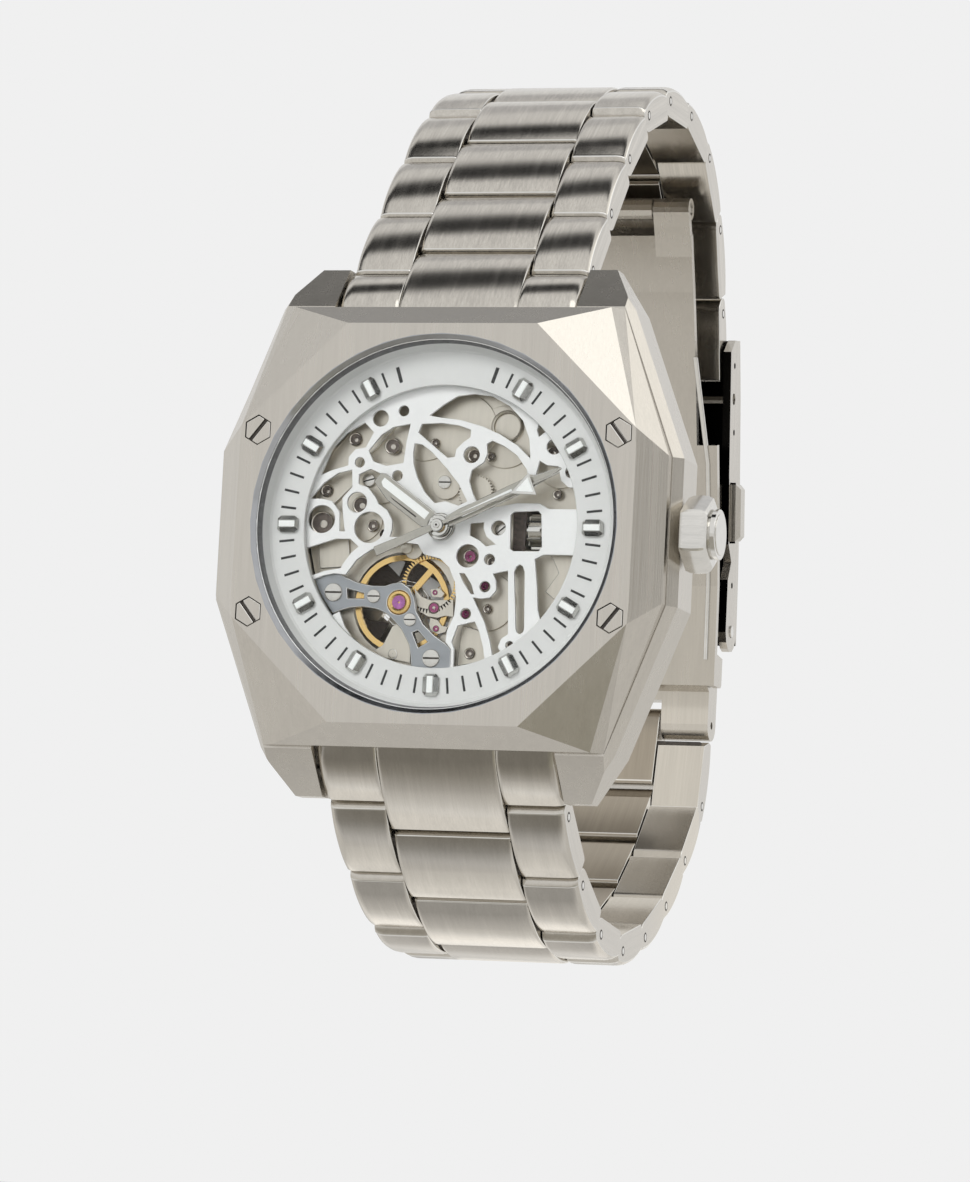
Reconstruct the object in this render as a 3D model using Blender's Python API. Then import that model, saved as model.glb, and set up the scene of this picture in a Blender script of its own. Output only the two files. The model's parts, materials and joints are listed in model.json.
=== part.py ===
"""Skeleton wristwatch on a closed steel bracelet, as an assembly of separate pieces.

Frame: +X towards 3 o'clock (the crown), +Z towards 12 o'clock, the dial faces -Y. The origin is the centre
of the case back's flat outer face. Drawing units are millimetres; MM turns them into Blender's metres.
Places along Y are given as a depth behind the bezel's flat top.
"""

import math

import bmesh
import bpy
from mathutils import Matrix, Vector

MM = 0.001

# Case
CASE_DEPTH = 12.6
BEZEL_DEPTH = 3.6
CASE_BACK_DEPTH = 10.8
OPENING_R = 17.05
OPENING_CHAMFER = 0.4
CRYSTAL_FRONT = 0.35
CRYSTAL_BACK = 1.2
SCREW_X = 17.17
SCREW_Z = 8.4
SCREW_R = 1.33
SCREW_GAP = 0.09
LUG_GAP = 11.6
LUG_WALL_Z = 20.0
LUG_TIP_Z = 24.6
SPRING_BAR = (7.6, 22.2)
SPRING_BAR_R = 0.6

# Dial side
CHAPTER_INNER_R = 13.0
CHAPTER_DEPTH = 2.35
DIAL_DEPTH = 3.05
DIAL_THICKNESS = 0.35
HOUR_ANGLE = -54.5
MINUTE_ANGLE = 64.5
SECONDS_ANGLE = 66.5

# Movement: depths of the plates and the wheel levels
PLATE_R = 13.2
PLATE_FRONT = 4.8
PLATE_BACK = 6.8
BRIDGE_FRONT = 8.95
BRIDGE_BACK = 9.7
CENTRE_MODULE = 0.12
SECONDS_MODULE = CENTRE_MODULE * 36 / 34
ESCAPE_MODULE = 0.12
BARREL_MODULE = 0.17
THIRD_BEARING = math.radians(30.0)
ESCAPE_BEARING = math.radians(161.9)
BARREL_BEARING = math.radians(265.0)
BALANCE = (-3.87, -6.92)
BALANCE_R = 4.5
PALLET = (-1.11, -5.15)
PIVOT_GAP = 0.06
ROUND = 40

# Crown and winding
CROWN_DEPTH = 5.8
CROWN_R = 3.7
CROWN_START = 22.3
CROWN_END = 25.7
STEM_R = 0.42
PINION_X = 8.9

# Bracelet
PITCH = 8.7
LINK_R = 1.6
LINK_GAP = 0.12
SIDE_GAP = 0.12
LINK_PIN_R = 0.5
PIN_GAP = 0.08
CENTRE_SHARE = 0.51
END_HALF_WIDTH = 11.45
UPPER_TAPER = 0.15
LOWER_TAPER = 0.17
UPPER_START = (9.6, 24.9)
UPPER_HEADINGS = (48, 47, 40, 21, 2, -17, -45, -68, -78)
LOWER_START = (10.5, -25.6)
LOWER_HEADINGS = (-42, -28, -7, 12, 24, 35, 43, 75)

# Clasp
COVER_TILT = math.radians(7.5)
COVER_HALF_WIDTH = 11.15
COVER_WALL = 0.8
COVER_TOP = -6.0
RIVET_S = 23.7
PUSHER_S = 11.6
BLADE_THICKNESS = 0.9
BLADE_HINGE = (52.6, 38.9)
BLADE_HALF_WIDTH = 11.0
BLADE_END_Z = -8.1
FLANGE_WALL = 0.7


def clear_scene():
    for old in list(bpy.data.objects):
        bpy.data.objects.remove(old, do_unlink=True)


def material(name, color, metallic, roughness, alpha=1.0):
    """A Principled material, made once for each name."""
    found = bpy.data.materials.get(name)
    if found:
        return found
    made = bpy.data.materials.new(name)
    made.use_nodes = True
    shader = made.node_tree.nodes["Principled BSDF"]
    shader.inputs["Base Color"].default_value = (*color, 1.0)
    shader.inputs["Metallic"].default_value = metallic
    shader.inputs["Roughness"].default_value = roughness
    shader.inputs["Alpha"].default_value = alpha
    return made


def steel():
    return material("brushed_steel", (0.62, 0.60, 0.57), 1.0, 0.32)


def polished():
    return material("polished_steel", (0.72, 0.71, 0.69), 1.0, 0.12)


def nickel():
    return material("nickel_plate", (0.56, 0.53, 0.48), 1.0, 0.38)


def gilt():
    return material("gilt_brass", (0.80, 0.58, 0.25), 1.0, 0.22)


def blued():
    return material("grey_blue_bridge", (0.48, 0.51, 0.56), 1.0, 0.30)


def white_dial():
    return material("white_satin_dial", (0.86, 0.86, 0.85), 0.3, 0.45)


def glass():
    return material("mineral_glass", (0.95, 0.97, 0.97), 0.0, 0.03, 0.2)


# Points in space


def front(x, z, depth):
    """A point given on the dial plane and by its depth behind the bezel."""
    return Vector((x, depth - CASE_DEPTH, z)) * MM


def side(depth, z, x):
    """A point given on the side plane and by its place along the hinge axes."""
    return Vector((x, depth - CASE_DEPTH, z)) * MM


def across(depth, z, x):
    """The same place as side, for outlines drawn round the crown's axis."""
    return side(depth + CROWN_DEPTH, z, x)


def polar(radius, bearing):
    """A dial-plane point at a clockwise bearing from 12 o'clock."""
    return (radius * math.sin(bearing), radius * math.cos(bearing))


def circle(cx, cy, radius, count, phase=0.0):
    step = 2 * math.pi / count
    return [(cx + radius * math.cos(phase + step * k), cy + radius * math.sin(phase + step * k)) for k in range(count)]


def arc(cx, cy, radius, first, last, count):
    """Points along an arc, with both ends, for angles in degrees."""
    steps = [math.radians(first + (last - first) * k / count) for k in range(count + 1)]
    return [(cx + radius * math.cos(a), cy + radius * math.sin(a)) for a in steps]


def turn(points, bearing):
    """Points turned clockwise about the dial's centre, by a bearing in degrees."""
    c = math.cos(math.radians(bearing))
    s = math.sin(math.radians(bearing))
    return [(x * c + z * s, z * c - x * s) for x, z in points]


def strip(points, width):
    """The outline of a bar of even width along a row of points."""
    left = []
    right = []
    for k, here in enumerate(points):
        before = points[max(k - 1, 0)]
        after = points[min(k + 1, len(points) - 1)]
        run = Vector((after[0] - before[0], after[1] - before[1])).normalized()
        offset = Vector((-run.y, run.x)) * width / 2
        left.append((here[0] + offset.x, here[1] + offset.y))
        right.append((here[0] - offset.x, here[1] - offset.y))
    return left + right[::-1]


# Solids, as bmeshes


def extruded(points, start, end, space=front):
    """A closed prism of an outline between two places along the outline's normal."""
    bm = bmesh.new()
    face = bm.faces.new([bm.verts.new(space(a, b, start)) for a, b in points])
    grown = bmesh.ops.extrude_face_region(bm, geom=[face])
    moved = [v for v in grown["geom"] if isinstance(v, bmesh.types.BMVert)]
    bmesh.ops.translate(bm, vec=space(0, 0, end) - space(0, 0, start), verts=moved)
    bmesh.ops.recalc_face_normals(bm, faces=bm.faces)
    return bm


def lofted(rings, space=front):
    """A closed solid through outlines with equal point counts, each with its own depth."""
    bm = bmesh.new()
    rows = [[bm.verts.new(space(a, b, depth)) for a, b in points] for points, depth in rings]
    bm.faces.new(rows[0])
    bm.faces.new(rows[-1])
    for lower, upper in zip(rows, rows[1:]):
        for k in range(len(lower)):
            after = (k + 1) % len(lower)
            bm.faces.new((lower[k], lower[after], upper[after], upper[k]))
    bmesh.ops.recalc_face_normals(bm, faces=bm.faces)
    return bm


def turned(profile, steps, centre=(0.0, 0.0), ring=True):
    """A profile of (radius, depth) points spun about the dial's axis; a ring's profile is a closed loop."""
    bm = bmesh.new()
    verts = [bm.verts.new(front(radius, 0, depth)) for radius, depth in profile]
    edges = [bm.edges.new(pair) for pair in zip(verts, verts[1:])]
    if ring:
        edges.append(bm.edges.new((verts[-1], verts[0])))
    bmesh.ops.spin(
        bm, geom=verts + edges, cent=(0, 0, 0), axis=(0, 1, 0), angle=2 * math.pi, steps=steps, use_merge=True
    )
    bmesh.ops.remove_doubles(bm, verts=bm.verts, dist=1e-7)
    bmesh.ops.recalc_face_normals(bm, faces=bm.faces)
    bmesh.ops.translate(bm, vec=Vector((centre[0], 0, centre[1])) * MM, verts=bm.verts)
    return bm


def disc(radius, first, last, steps, centre=(0.0, 0.0)):
    return extruded(circle(centre[0], centre[1], radius, steps), first, last)


def washer(inner, outer, first, last, steps, centre=(0.0, 0.0)):
    return turned([(inner, first), (outer, first), (outer, last), (inner, last)], steps, centre)


def rod(place, radius, first, last, count=8):
    """A round bar parallel to X through a side-plane point."""
    return extruded(circle(place[0], place[1], radius, count, math.pi / count), first, last, side)


def merged(*parts):
    """One bmesh that holds several bodies."""
    whole = bmesh.new()
    for part in parts:
        mesh = bpy.data.meshes.new("part")
        part.to_mesh(mesh)
        whole.from_mesh(mesh)
        bpy.data.meshes.remove(mesh)
        part.free()
    return whole


def gear_outline(teeth, module, centre, phase):
    """Teeth with backlash on a pitch circle of radius module * teeth / 2: blunt on pinions, pointed on wheels."""
    radius = module * teeth / 2
    root = radius - 1.1 * module
    tip = radius + 0.8 * module
    pitch = 2 * math.pi / teeth
    flanks = ((root, -0.27), (tip, -0.12), (tip, 0.12), (root, 0.27))
    if teeth > 20:
        flanks = ((root, -0.26), (tip + 0.1 * module, 0.0), (root, 0.26))
    points = []
    for k in range(teeth):
        middle = phase + k * pitch
        for reach, share in flanks:
            dx, dz = polar(reach, middle + share * pitch)
            points.append((centre[0] + dx, centre[1] + dz))
    return points


def gear(teeth, module, first, last, centre=(0.0, 0.0), phase=0.0):
    return extruded(gear_outline(teeth, module, centre, phase), first, last)


# Objects


def add(name, bm, look, pivot=(0.0, 0.0, 0.0), smooth=35.0):
    """An object whose origin is at pivot, a world point in metres."""
    bmesh.ops.translate(bm, vec=-Vector(pivot), verts=bm.verts)
    mesh = bpy.data.meshes.new(name)
    bm.to_mesh(mesh)
    bm.free()
    mesh.materials.append(look)
    mesh.shade_smooth()
    mesh.set_sharp_from_angle(angle=math.radians(smooth))
    obj = bpy.data.objects.new(name, mesh)
    obj.location = pivot
    bpy.context.scene.collection.objects.link(obj)
    return obj


def boolean(obj, bm, operation, overlapping=False):
    """Adds a Boolean with a hidden operand; overlapping says that the operand's bodies cross each other."""
    mesh = bpy.data.meshes.new(obj.name + "_operand")
    bm.to_mesh(mesh)
    bm.free()
    tool = bpy.data.objects.new(obj.name + "_operand", mesh)
    tool.hide_render = True
    tool.display_type = "WIRE"
    bpy.context.scene.collection.objects.link(tool)
    step = obj.modifiers.new(operation.lower(), "BOOLEAN")
    step.operation = operation
    step.object = tool
    step.solver = "EXACT"
    step.use_self = overlapping
    return obj


def cut(obj, *cutters):
    return boolean(obj, merged(*cutters), "DIFFERENCE")


def fuse(obj, *bodies):
    return boolean(obj, merged(*bodies), "UNION", overlapping=len(bodies) > 1)


# Case


def mirrored(points):
    """Each (x, z, depth) point in all four quadrants."""
    return [(sx * x, sz * z, depth) for x, z, depth in points for sx in (1, -1) for sz in (1, -1)]


def build_bezel():
    corners = (
        (9.03, 18.36, 0.0),
        (18.75, 8.9, 0.0),
        (18.85, 6.7, 0.0),
        (15.15, 20.3, 2.75),
        (16.2, 20.3, BEZEL_DEPTH),
        (21.27, 6.72, 2.5),
        (21.27, 6.72, BEZEL_DEPTH),
    )
    bm = bmesh.new()
    verts = [bm.verts.new(front(x, z, depth)) for x, z, depth in mirrored(corners)]
    bmesh.ops.convex_hull(bm, input=verts)
    bmesh.ops.recalc_face_normals(bm, faces=bm.faces)
    bezel = add("bezel", bm, steel(), smooth=10.0)
    wide = OPENING_R + OPENING_CHAMFER
    opening = turned(
        [(0, -1), (wide, -1), (wide, 0.02), (OPENING_R, OPENING_CHAMFER), (OPENING_R, 5), (0, 5)], ROUND, ring=False
    )
    cut(bezel, opening)
    pockets = []
    for x, z, _ in mirrored([(SCREW_X, SCREW_Z, 0)]):
        pockets.append(extruded(circle(x, z, SCREW_R + SCREW_GAP, 6, math.pi / 2), -1, 1.3))
    cut(bezel, *pockets)


def build_bezel_screws():
    slots = ((1, 1, 110), (-1, 1, 55), (1, -1, 60), (-1, -1, 115))
    for number, (sx, sz, lean) in enumerate(slots, start=1):
        x = sx * SCREW_X
        z = sz * SCREW_Z
        screw = add(f"bezel_screw_{number}", extruded(circle(x, z, SCREW_R, 6, math.pi / 2), 0.03, 1.2), polished())
        run = Vector((math.cos(math.radians(lean)), math.sin(math.radians(lean)))) * 2
        slot = strip([(x - run.x, z - run.y), (x + run.x, z + run.y)], 0.3)
        cut(screw, extruded(slot, -1, 0.35))


def lug_outline(width, waist, shoulder, tip, tip_z):
    """The case's outline, clockwise from 12, with a gap between each pair of lugs."""
    quarter = [(LUG_GAP, LUG_WALL_Z), (LUG_GAP, tip_z), (tip, tip_z), (shoulder, 20.4), (width, waist)]
    lower = [(x, -z) for x, z in quarter[::-1]]
    right = quarter + lower
    return right + [(-x, z) for x, z in right[::-1]]


def build_case_middle():
    full = lug_outline(22.1, 6.8, 16.9, 14.2, LUG_TIP_Z)
    slim = lug_outline(21.35, 6.75, 16.25, 14.0, LUG_TIP_Z)
    rear = lug_outline(20.6, 6.3, 16.1, 13.6, 23.6)
    rings = [(slim, BEZEL_DEPTH + 0.06), (full, 4.9), (full, 9.6), (rear, CASE_BACK_DEPTH)]
    middle = add("case_middle", lofted(rings), steel(), smooth=20.0)
    slopes = []
    for sign in (1, -1):
        wedge = [(2.0, sign * 20.42), (3.55, sign * 20.42), (7.6, sign * 24.62), (7.6, sign * 27), (2.0, sign * 27)]
        slopes.append(extruded(wedge, -30, 30, side))
    cut(middle, *slopes)
    cut(middle, disc(OPENING_R, 0, 15, ROUND))
    cut(middle, extruded(circle(0, 0, STEM_R + 0.1, 8), 10, 30, across))
    bars = [rod((SPRING_BAR[0], sign * SPRING_BAR[1]), SPRING_BAR_R + 0.05, -12.7, 12.7) for sign in (1, -1)]
    cut(middle, *bars)


def build_glass_and_back():
    add("crystal", disc(OPENING_R - 0.08, CRYSTAL_FRONT, CRYSTAL_BACK, ROUND), glass())
    ring = [
        (13.75, CASE_DEPTH),
        (17.2, CASE_DEPTH),
        (18.4, CASE_DEPTH - 0.5),
        (18.4, CASE_BACK_DEPTH + 0.06),
        (16.3, CASE_BACK_DEPTH + 0.06),
        (13.0, CASE_BACK_DEPTH + 0.3),
        (13.0, CASE_DEPTH - 1.0),
        (13.75, CASE_DEPTH - 1.0),
    ]
    back = add("caseback_ring", turned(ring, ROUND), steel())
    notches = [disc(0.9, CASE_DEPTH - 0.6, CASE_DEPTH + 1, 6, polar(18.2, math.radians(30 + 60 * k))) for k in range(6)]
    cut(back, *notches)
    add("caseback_window", disc(13.67, CASE_DEPTH - 0.92, CASE_DEPTH, ROUND), glass())


def build_chapter_ring():
    profile = [
        (CHAPTER_INNER_R, CHAPTER_DEPTH),
        (16.1, CHAPTER_DEPTH),
        (16.55, 1.35),
        (16.95, 1.35),
        (16.95, 2.95),
        (CHAPTER_INNER_R, 2.95),
    ]
    add("chapter_ring", turned(profile, ROUND), white_dial())


def dial_openings():
    """Outlines cut right through the dial plate, clockwise from 12."""
    return (
        [(-1.9, 8.4), (-2.0, 5.0), (-1.2, 2.9), (1.3, 2.9), (-0.4, 6.2)],
        [(0.6, 8.8), (3.6, 8.6), (6.4, 7.4), (8.0, 5.4), (8.2, 2.6), (3.6, 2.6), (2.2, 4.8)],
        [(5.2, 10.9), (8.6, 9.0), (11.2, 5.6), (12.2, 2.2), (9.6, 2.2), (9.0, 5.8), (7.2, 8.4)],
        [(6.5, -2.6), (9.7, -2.6), (9.7, 1.0), (6.5, 1.0)],
        [(10.6, -3.8), (12.0, -3.8), (10.8, -6.6), (10.2, -6.6)],
        [(7.2, -3.8), (9.6, -3.8), (9.2, -7.6), (7.2, -9.4)],
        [(3.8, -3.6), (5.8, -3.8), (5.8, -10.6), (4.0, -11.4), (4.4, -7.4)],
        [(0.2, -3.6), (1.6, -4.2), (2.6, -7.0), (2.6, -11.6), (-0.6, -11.8), (0.6, -7.0)],
        [(-12.2, -2.6), (-3.4, -2.0), (-1.6, -3.2), (-1.0, -6.0), (-2.2, -11.0), (-5.0, -11.4), (-8.6, -8.8), (-11.0, -5.6)],
        [(-12.2, 2.4), (-9.6, 4.4), (-9.3, 1.6), (-9.6, -0.6), (-12.3, -0.9)],
        [(-6.6, 4.8), (-3.6, 3.8), (-2.8, 2.4), (-4.0, 0.2), (-6.0, 0.4), (-6.2, 2.6)],
        [(-10.4, 5.4), (-9.0, 7.4), (-6.6, 8.4), (-4.0, 8.6), (-3.4, 6.6), (-5.2, 6.0), (-7.6, 7.2)],
        circle(0, 0, 1.35, 12),
        circle(-6.0, 10.2, 0.75, 8),
        circle(-3.6, 10.9, 0.5, 8),
    )


def build_dial_plate():
    plate = add("dial_plate", disc(14.6, DIAL_DEPTH, DIAL_DEPTH + DIAL_THICKNESS, ROUND), white_dial())
    cut(plate, *[extruded(points, DIAL_DEPTH - 1, DIAL_DEPTH + 1) for points in dial_openings()])


def build_spring_bars():
    for name, sign in (("spring_bar_12", 1), ("spring_bar_6", -1)):
        place = (SPRING_BAR[0], sign * SPRING_BAR[1])
        add(name, rod(place, SPRING_BAR_R - 0.05, -12.5, 12.5), polished())


# Movement


def third_centre():
    return polar(CENTRE_MODULE * 36, THIRD_BEARING)


def escape_centre():
    return polar(ESCAPE_MODULE * 35, ESCAPE_BEARING)


def barrel_centre():
    return polar(BARREL_MODULE * 35, BARREL_BEARING)


def pivot_at(centre, depth):
    return front(centre[0], centre[1], depth)


def build_plates():
    ring = [(13.35, 3.5), (16.95, 3.5), (16.95, 9.6), (13.35, 9.6)]
    holder = add("movement_ring", turned(ring, ROUND), material("holder_grey", (0.45, 0.44, 0.43), 0.0, 0.6))
    cut(holder, extruded(circle(0, 0, STEM_R + 0.12, 8), 10, 30, across))
    plate = add("main_plate", disc(PLATE_R, PLATE_FRONT, PLATE_BACK, ROUND), nickel())
    window = extruded([(7.5, -1.85), (10.3, -1.85), (10.3, 1.85), (7.5, 1.85)], 0, 10)
    cutters = [disc(0.66, 0, 10, 10), disc(BALANCE_R + 0.3, 0, 10, 32, BALANCE), window]
    cutters.append(disc(0.2 + PIVOT_GAP, 0, 10, 8, third_centre()))
    cutters.append(disc(0.2 + PIVOT_GAP, 0, 10, 8, escape_centre()))
    cutters.append(disc(0.5 + PIVOT_GAP, 0, 10, 8, barrel_centre()))
    cut(plate, *cutters)
    cut(plate, extruded(circle(0, 0, STEM_R + 0.12, 8), 6.6, 30, across))
    build_back_bridges()


def half_plate(first, last, start, end, inner_cut):
    """A sector-like bridge outline between two clockwise bearings in degrees, with a straight inner edge."""
    count = 20
    rim = [polar(12.9, math.radians(start + (end - start) * k / count)) for k in range(count + 1)]
    return extruded(rim + [inner_cut], first, last)


def build_back_bridges():
    train = add("train_bridge", half_plate(BRIDGE_FRONT, BRIDGE_BACK, -28, 218, (-0.9, 1.2)), nickel())
    cutters = [disc(0.2 + PIVOT_GAP, 0, 20, 8), disc(0.2 + PIVOT_GAP, 0, 20, 8, third_centre())]
    cutters.append(disc(0.2 + PIVOT_GAP, 0, 20, 8, escape_centre()))
    cutters.append(disc(0.2 + PIVOT_GAP, 0, 20, 8, BALANCE))
    cutters.append(disc(0.15 + PIVOT_GAP, 0, 20, 8, PALLET))
    cut(train, *cutters)
    barrel = add("barrel_bridge", half_plate(BRIDGE_FRONT, BRIDGE_BACK, 222, 328, (-1.5, 0.6)), nickel())
    cut(barrel, disc(0.5 + PIVOT_GAP, 0, 20, 8, barrel_centre()))


def build_balance_bridge():
    """The Y-shaped front bridge over the balance, with its two feet near the dial's edge."""
    first, last = 3.5, 4.1
    left_foot = (-11.2, -4.7)
    low_foot = (-1.6, -12.0)
    bridge = add("balance_bridge", disc(1.75, first, last, 20, BALANCE), blued())
    left = strip([left_foot, (-8.6, -5.0), (-6.0, -5.6), BALANCE], 2.3)
    low = strip([low_foot, (-1.4, -9.6), (-2.4, -8.1), BALANCE], 2.3)
    left_pad = extruded([(-12.4, -3.4), (-10.0, -3.6), (-10.0, -6.4), (-11.2, -6.8), (-11.9, -5.4)], first, last)
    low_pad = extruded([(-3.3, -12.5), (0.4, -12.7), (0.2, -10.4), (-3.1, -10.4)], first + 0.01, last - 0.01)
    arms = (extruded(left, first + 0.02, last - 0.02), extruded(low, first + 0.03, last - 0.03))
    fuse(bridge, *arms, left_pad, low_pad)
    feet = ((-11.3, -4.6), (-1.0, -11.7))
    legs = [disc(0.7, last - 0.2, PLATE_FRONT - 0.05, 10, foot) for foot in feet]
    fuse(bridge, *legs)
    cut(bridge, disc(0.2 + PIVOT_GAP, 0, 20, 8, BALANCE))


def build_going_train():
    seconds_phase = math.pi / 8
    centre = add(
        "centre_wheel",
        turned([(0.28, 1.62), (0.55, 1.62), (0.55, 7.8), (0.28, 7.8)], 12),
        gilt(),
        pivot_at((0, 0), 7.0),
        smooth=20.0,
    )
    wheel = gear(64, CENTRE_MODULE, 6.95, 7.15, phase=THIRD_BEARING)
    pinion = gear(10, BARREL_MODULE, 7.38, 7.75, phase=BARREL_BEARING + math.pi / 10)
    fuse(centre, wheel, pinion)
    cut(centre, disc(0.28, 0, 12, 12))

    place = third_centre()
    third = add("third_wheel", disc(0.2, 6.0, 9.5, 8, place), gilt(), pivot_at(place, 7.0), smooth=20.0)
    pinion = gear(8, CENTRE_MODULE, 6.9, 7.25, place, THIRD_BEARING + math.pi + math.pi / 8)
    wheel = gear(60, SECONDS_MODULE, 7.95, 8.1, place, THIRD_BEARING + math.pi)
    fuse(third, pinion, wheel)

    fourth = add("fourth_wheel", disc(0.2, 1.35, 9.5, 8), gilt(), pivot_at((0, 0), 8.0), smooth=20.0)
    pinion = gear(8, SECONDS_MODULE, 7.88, 8.5, phase=THIRD_BEARING + seconds_phase)
    wheel = gear(63, ESCAPE_MODULE, 8.45, 8.65, phase=ESCAPE_BEARING)
    fuse(fourth, pinion, wheel)


def build_barrel():
    place = barrel_centre()
    barrel = add("mainspring_barrel", disc(0.5, 6.0, 9.5, 8, place), gilt(), pivot_at(place, 7.5), smooth=20.0)
    teeth = gear(60, BARREL_MODULE, 7.4, 7.65, place, BARREL_BEARING + math.pi)
    fuse(barrel, teeth, disc(4.6, 7.5, 8.4, 32, place))


def build_escapement():
    place = escape_centre()
    wheel = add("escape_wheel", disc(0.2, 6.0, 9.5, 8, place), polished(), pivot_at(place, 7.6), smooth=20.0)
    pinion = gear(7, ESCAPE_MODULE, 8.4, 8.7, place, ESCAPE_BEARING + math.pi + math.pi / 7)
    points = []
    for k in range(20):
        bearing = 2 * math.pi * k / 20
        for reach, share in ((1.6, 0.0), (2.05, 0.1), (2.05, 0.16), (1.6, 0.5)):
            dx, dz = polar(reach, bearing + share * math.pi / 10)
            points.append((place[0] + dx, place[1] + dz))
    fuse(wheel, pinion, extruded(points, 7.6, 7.75))

    toward = Vector((BALANCE[0] - PALLET[0], BALANCE[1] - PALLET[1])).normalized()
    across_arm = Vector((-toward.y, toward.x))
    tip = (PALLET[0] + toward.x * 2.35, PALLET[1] + toward.y * 2.35)
    fork = add("pallet_fork", disc(0.15, 6.85, 9.5, 8, PALLET), polished(), pivot_at(PALLET, 7.6), smooth=20.0)
    arms = []
    for sign in (1, -1):
        end = (
            PALLET[0] + across_arm.x * sign * 1.5 - toward.x * 0.55,
            PALLET[1] + across_arm.y * sign * 1.5 - toward.y * 0.55,
        )
        arms.append(extruded(strip([PALLET, end], 0.35), 7.6, 7.75))
    fuse(fork, extruded(strip([PALLET, tip], 0.3), 7.59, 7.76), *arms)


def spiral(turns, inner, outer, count):
    found = []
    for k in range(count + 1):
        t = k / count
        dx, dz = polar(inner + (outer - inner) * t, 2 * math.pi * turns * t)
        found.append((BALANCE[0] + dx, BALANCE[1] + dz))
    return found


def build_balance():
    pivot = pivot_at(BALANCE, 4.7)
    rim = washer(BALANCE_R - 0.5, BALANCE_R, 4.5, 4.95, 40, BALANCE)
    balance = add("balance_wheel", rim, gilt(), pivot, smooth=20.0)
    arms = []
    for k in range(3):
        dx, dz = polar(BALANCE_R - 0.25, math.radians(40 + 120 * k))
        arms.append(extruded(strip([BALANCE, (BALANCE[0] + dx, BALANCE[1] + dz)], 0.55), 4.55, 4.85))
    staff = disc(0.2, 3.6, 9.5, 8, BALANCE)
    hub = disc(0.6, 4.6, 4.9, 12, BALANCE)
    roller = disc(0.45, 7.3, 7.5, 10, BALANCE)
    fuse(balance, *arms, staff, hub, roller)
    coil = extruded(strip(spiral(4.5, 0.55, 2.5, 44), 0.06), 5.2, 5.4)
    spring = add("hairspring", coil, blued(), pivot, smooth=60.0)
    fuse(spring, washer(0.26, 0.62, 5.19, 5.41, 12, BALANCE))


def build_rotor():
    rim = [polar(15.6, math.radians(90 + 180 * k / 24)) for k in range(25)]
    web = rim + [(-2.2, 0.0), (-1.2, 1.2), (1.2, 1.2), (2.2, 0.0)]
    rotor = add("rotor", extruded(web, 9.95, 10.2), polished(), pivot_at((0, 0), 10.0), smooth=20.0)
    outer = [polar(15.6, math.radians(90 + 180 * k / 24)) for k in range(25)]
    inner = [polar(12.2, math.radians(270 - 180 * k / 24)) for k in range(25)]
    fuse(rotor, extruded(outer + inner, 10.1, 10.65), disc(1.6, 9.9, 10.8, 20))
    slots = [washer_sector(5.0, 10.6, 100 + 56 * k, 148 + 56 * k) for k in range(3)]
    cut(rotor, *slots)


def washer_sector(inner, outer, first, last):
    """A cutter in the shape of a ring's sector, between clockwise bearings in degrees."""
    bearings = [math.radians(first + (last - first) * k / 8) for k in range(9)]
    points = [polar(outer, b) for b in bearings] + [polar(inner, b) for b in bearings[::-1]]
    return extruded(points, 5, 15)


# Hands


def build_hands():
    hour = [(-0.55, 0.4), (-0.85, 2.2), (-0.6, 6.2), (0.0, 7.2), (0.6, 6.2), (0.85, 2.2), (0.55, 0.4)]
    minute = [(-0.4, 0.3), (-0.62, 2.4), (-0.5, 9.6), (0.0, 11.4), (0.5, 9.6), (0.62, 2.4), (0.4, 0.3)]
    second = [(-0.09, 12.6), (-0.2, 0.0), (-0.3, -3.2), (-0.12, -6.8), (0.12, -6.8), (0.3, -3.2), (0.2, 0.0), (0.09, 12.6)]
    pivot = pivot_at((0, 0), 2.0)
    hand = add("hour_hand", disc(1.15, 2.08, 2.25, 16), polished(), pivot)
    fuse(hand, extruded(turn([(x, z + 0.35) for x, z in hour], HOUR_ANGLE), 2.09, 2.24), disc(0.95, 2.1, 4.6, 16))
    cut(hand, disc(0.64, 0, 9, 16))
    hand = add("minute_hand", disc(0.95, 1.72, 1.87, 16), polished(), pivot)
    fuse(hand, extruded(turn([(x, z + 0.4) for x, z in minute], MINUTE_ANGLE), 1.73, 1.86))
    cut(hand, disc(0.62, 0, 9, 16))
    hand = add("seconds_hand", disc(0.62, 1.38, 1.5, 16), polished(), pivot)
    fuse(hand, extruded(turn(second, SECONDS_ANGLE), 1.39, 1.49))
    cut(hand, disc(0.26, 0, 9, 12))


# Crown and winding


def build_crown():
    pivot = side(CROWN_DEPTH, 0, CROWN_START)
    full = circle(0, 0, CROWN_R, 6, math.pi / 2)
    slim = circle(0, 0, CROWN_R - 0.35, 6, math.pi / 2)
    rings = [(slim, CROWN_START), (full, CROWN_START + 0.35), (full, CROWN_END - 0.35), (slim, CROWN_END)]
    crown = add("crown", lofted(rings, across), polished(), pivot)
    cap = [(circle(0, 0, 2.6, 20), CROWN_END - 0.2), (circle(0, 0, 2.6, 20), 26.7), (circle(0, 0, 2.35, 20), 27.0)]
    fuse(crown, lofted(cap, across))
    cut(crown, extruded(circle(0, 0, STEM_R + PIVOT_GAP, 8), 20, 24.8, across))
    stem = extruded(circle(0, 0, STEM_R, 8), 7.0, 24.6, across)
    add("winding_stem", stem, polished(), pivot)


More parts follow.
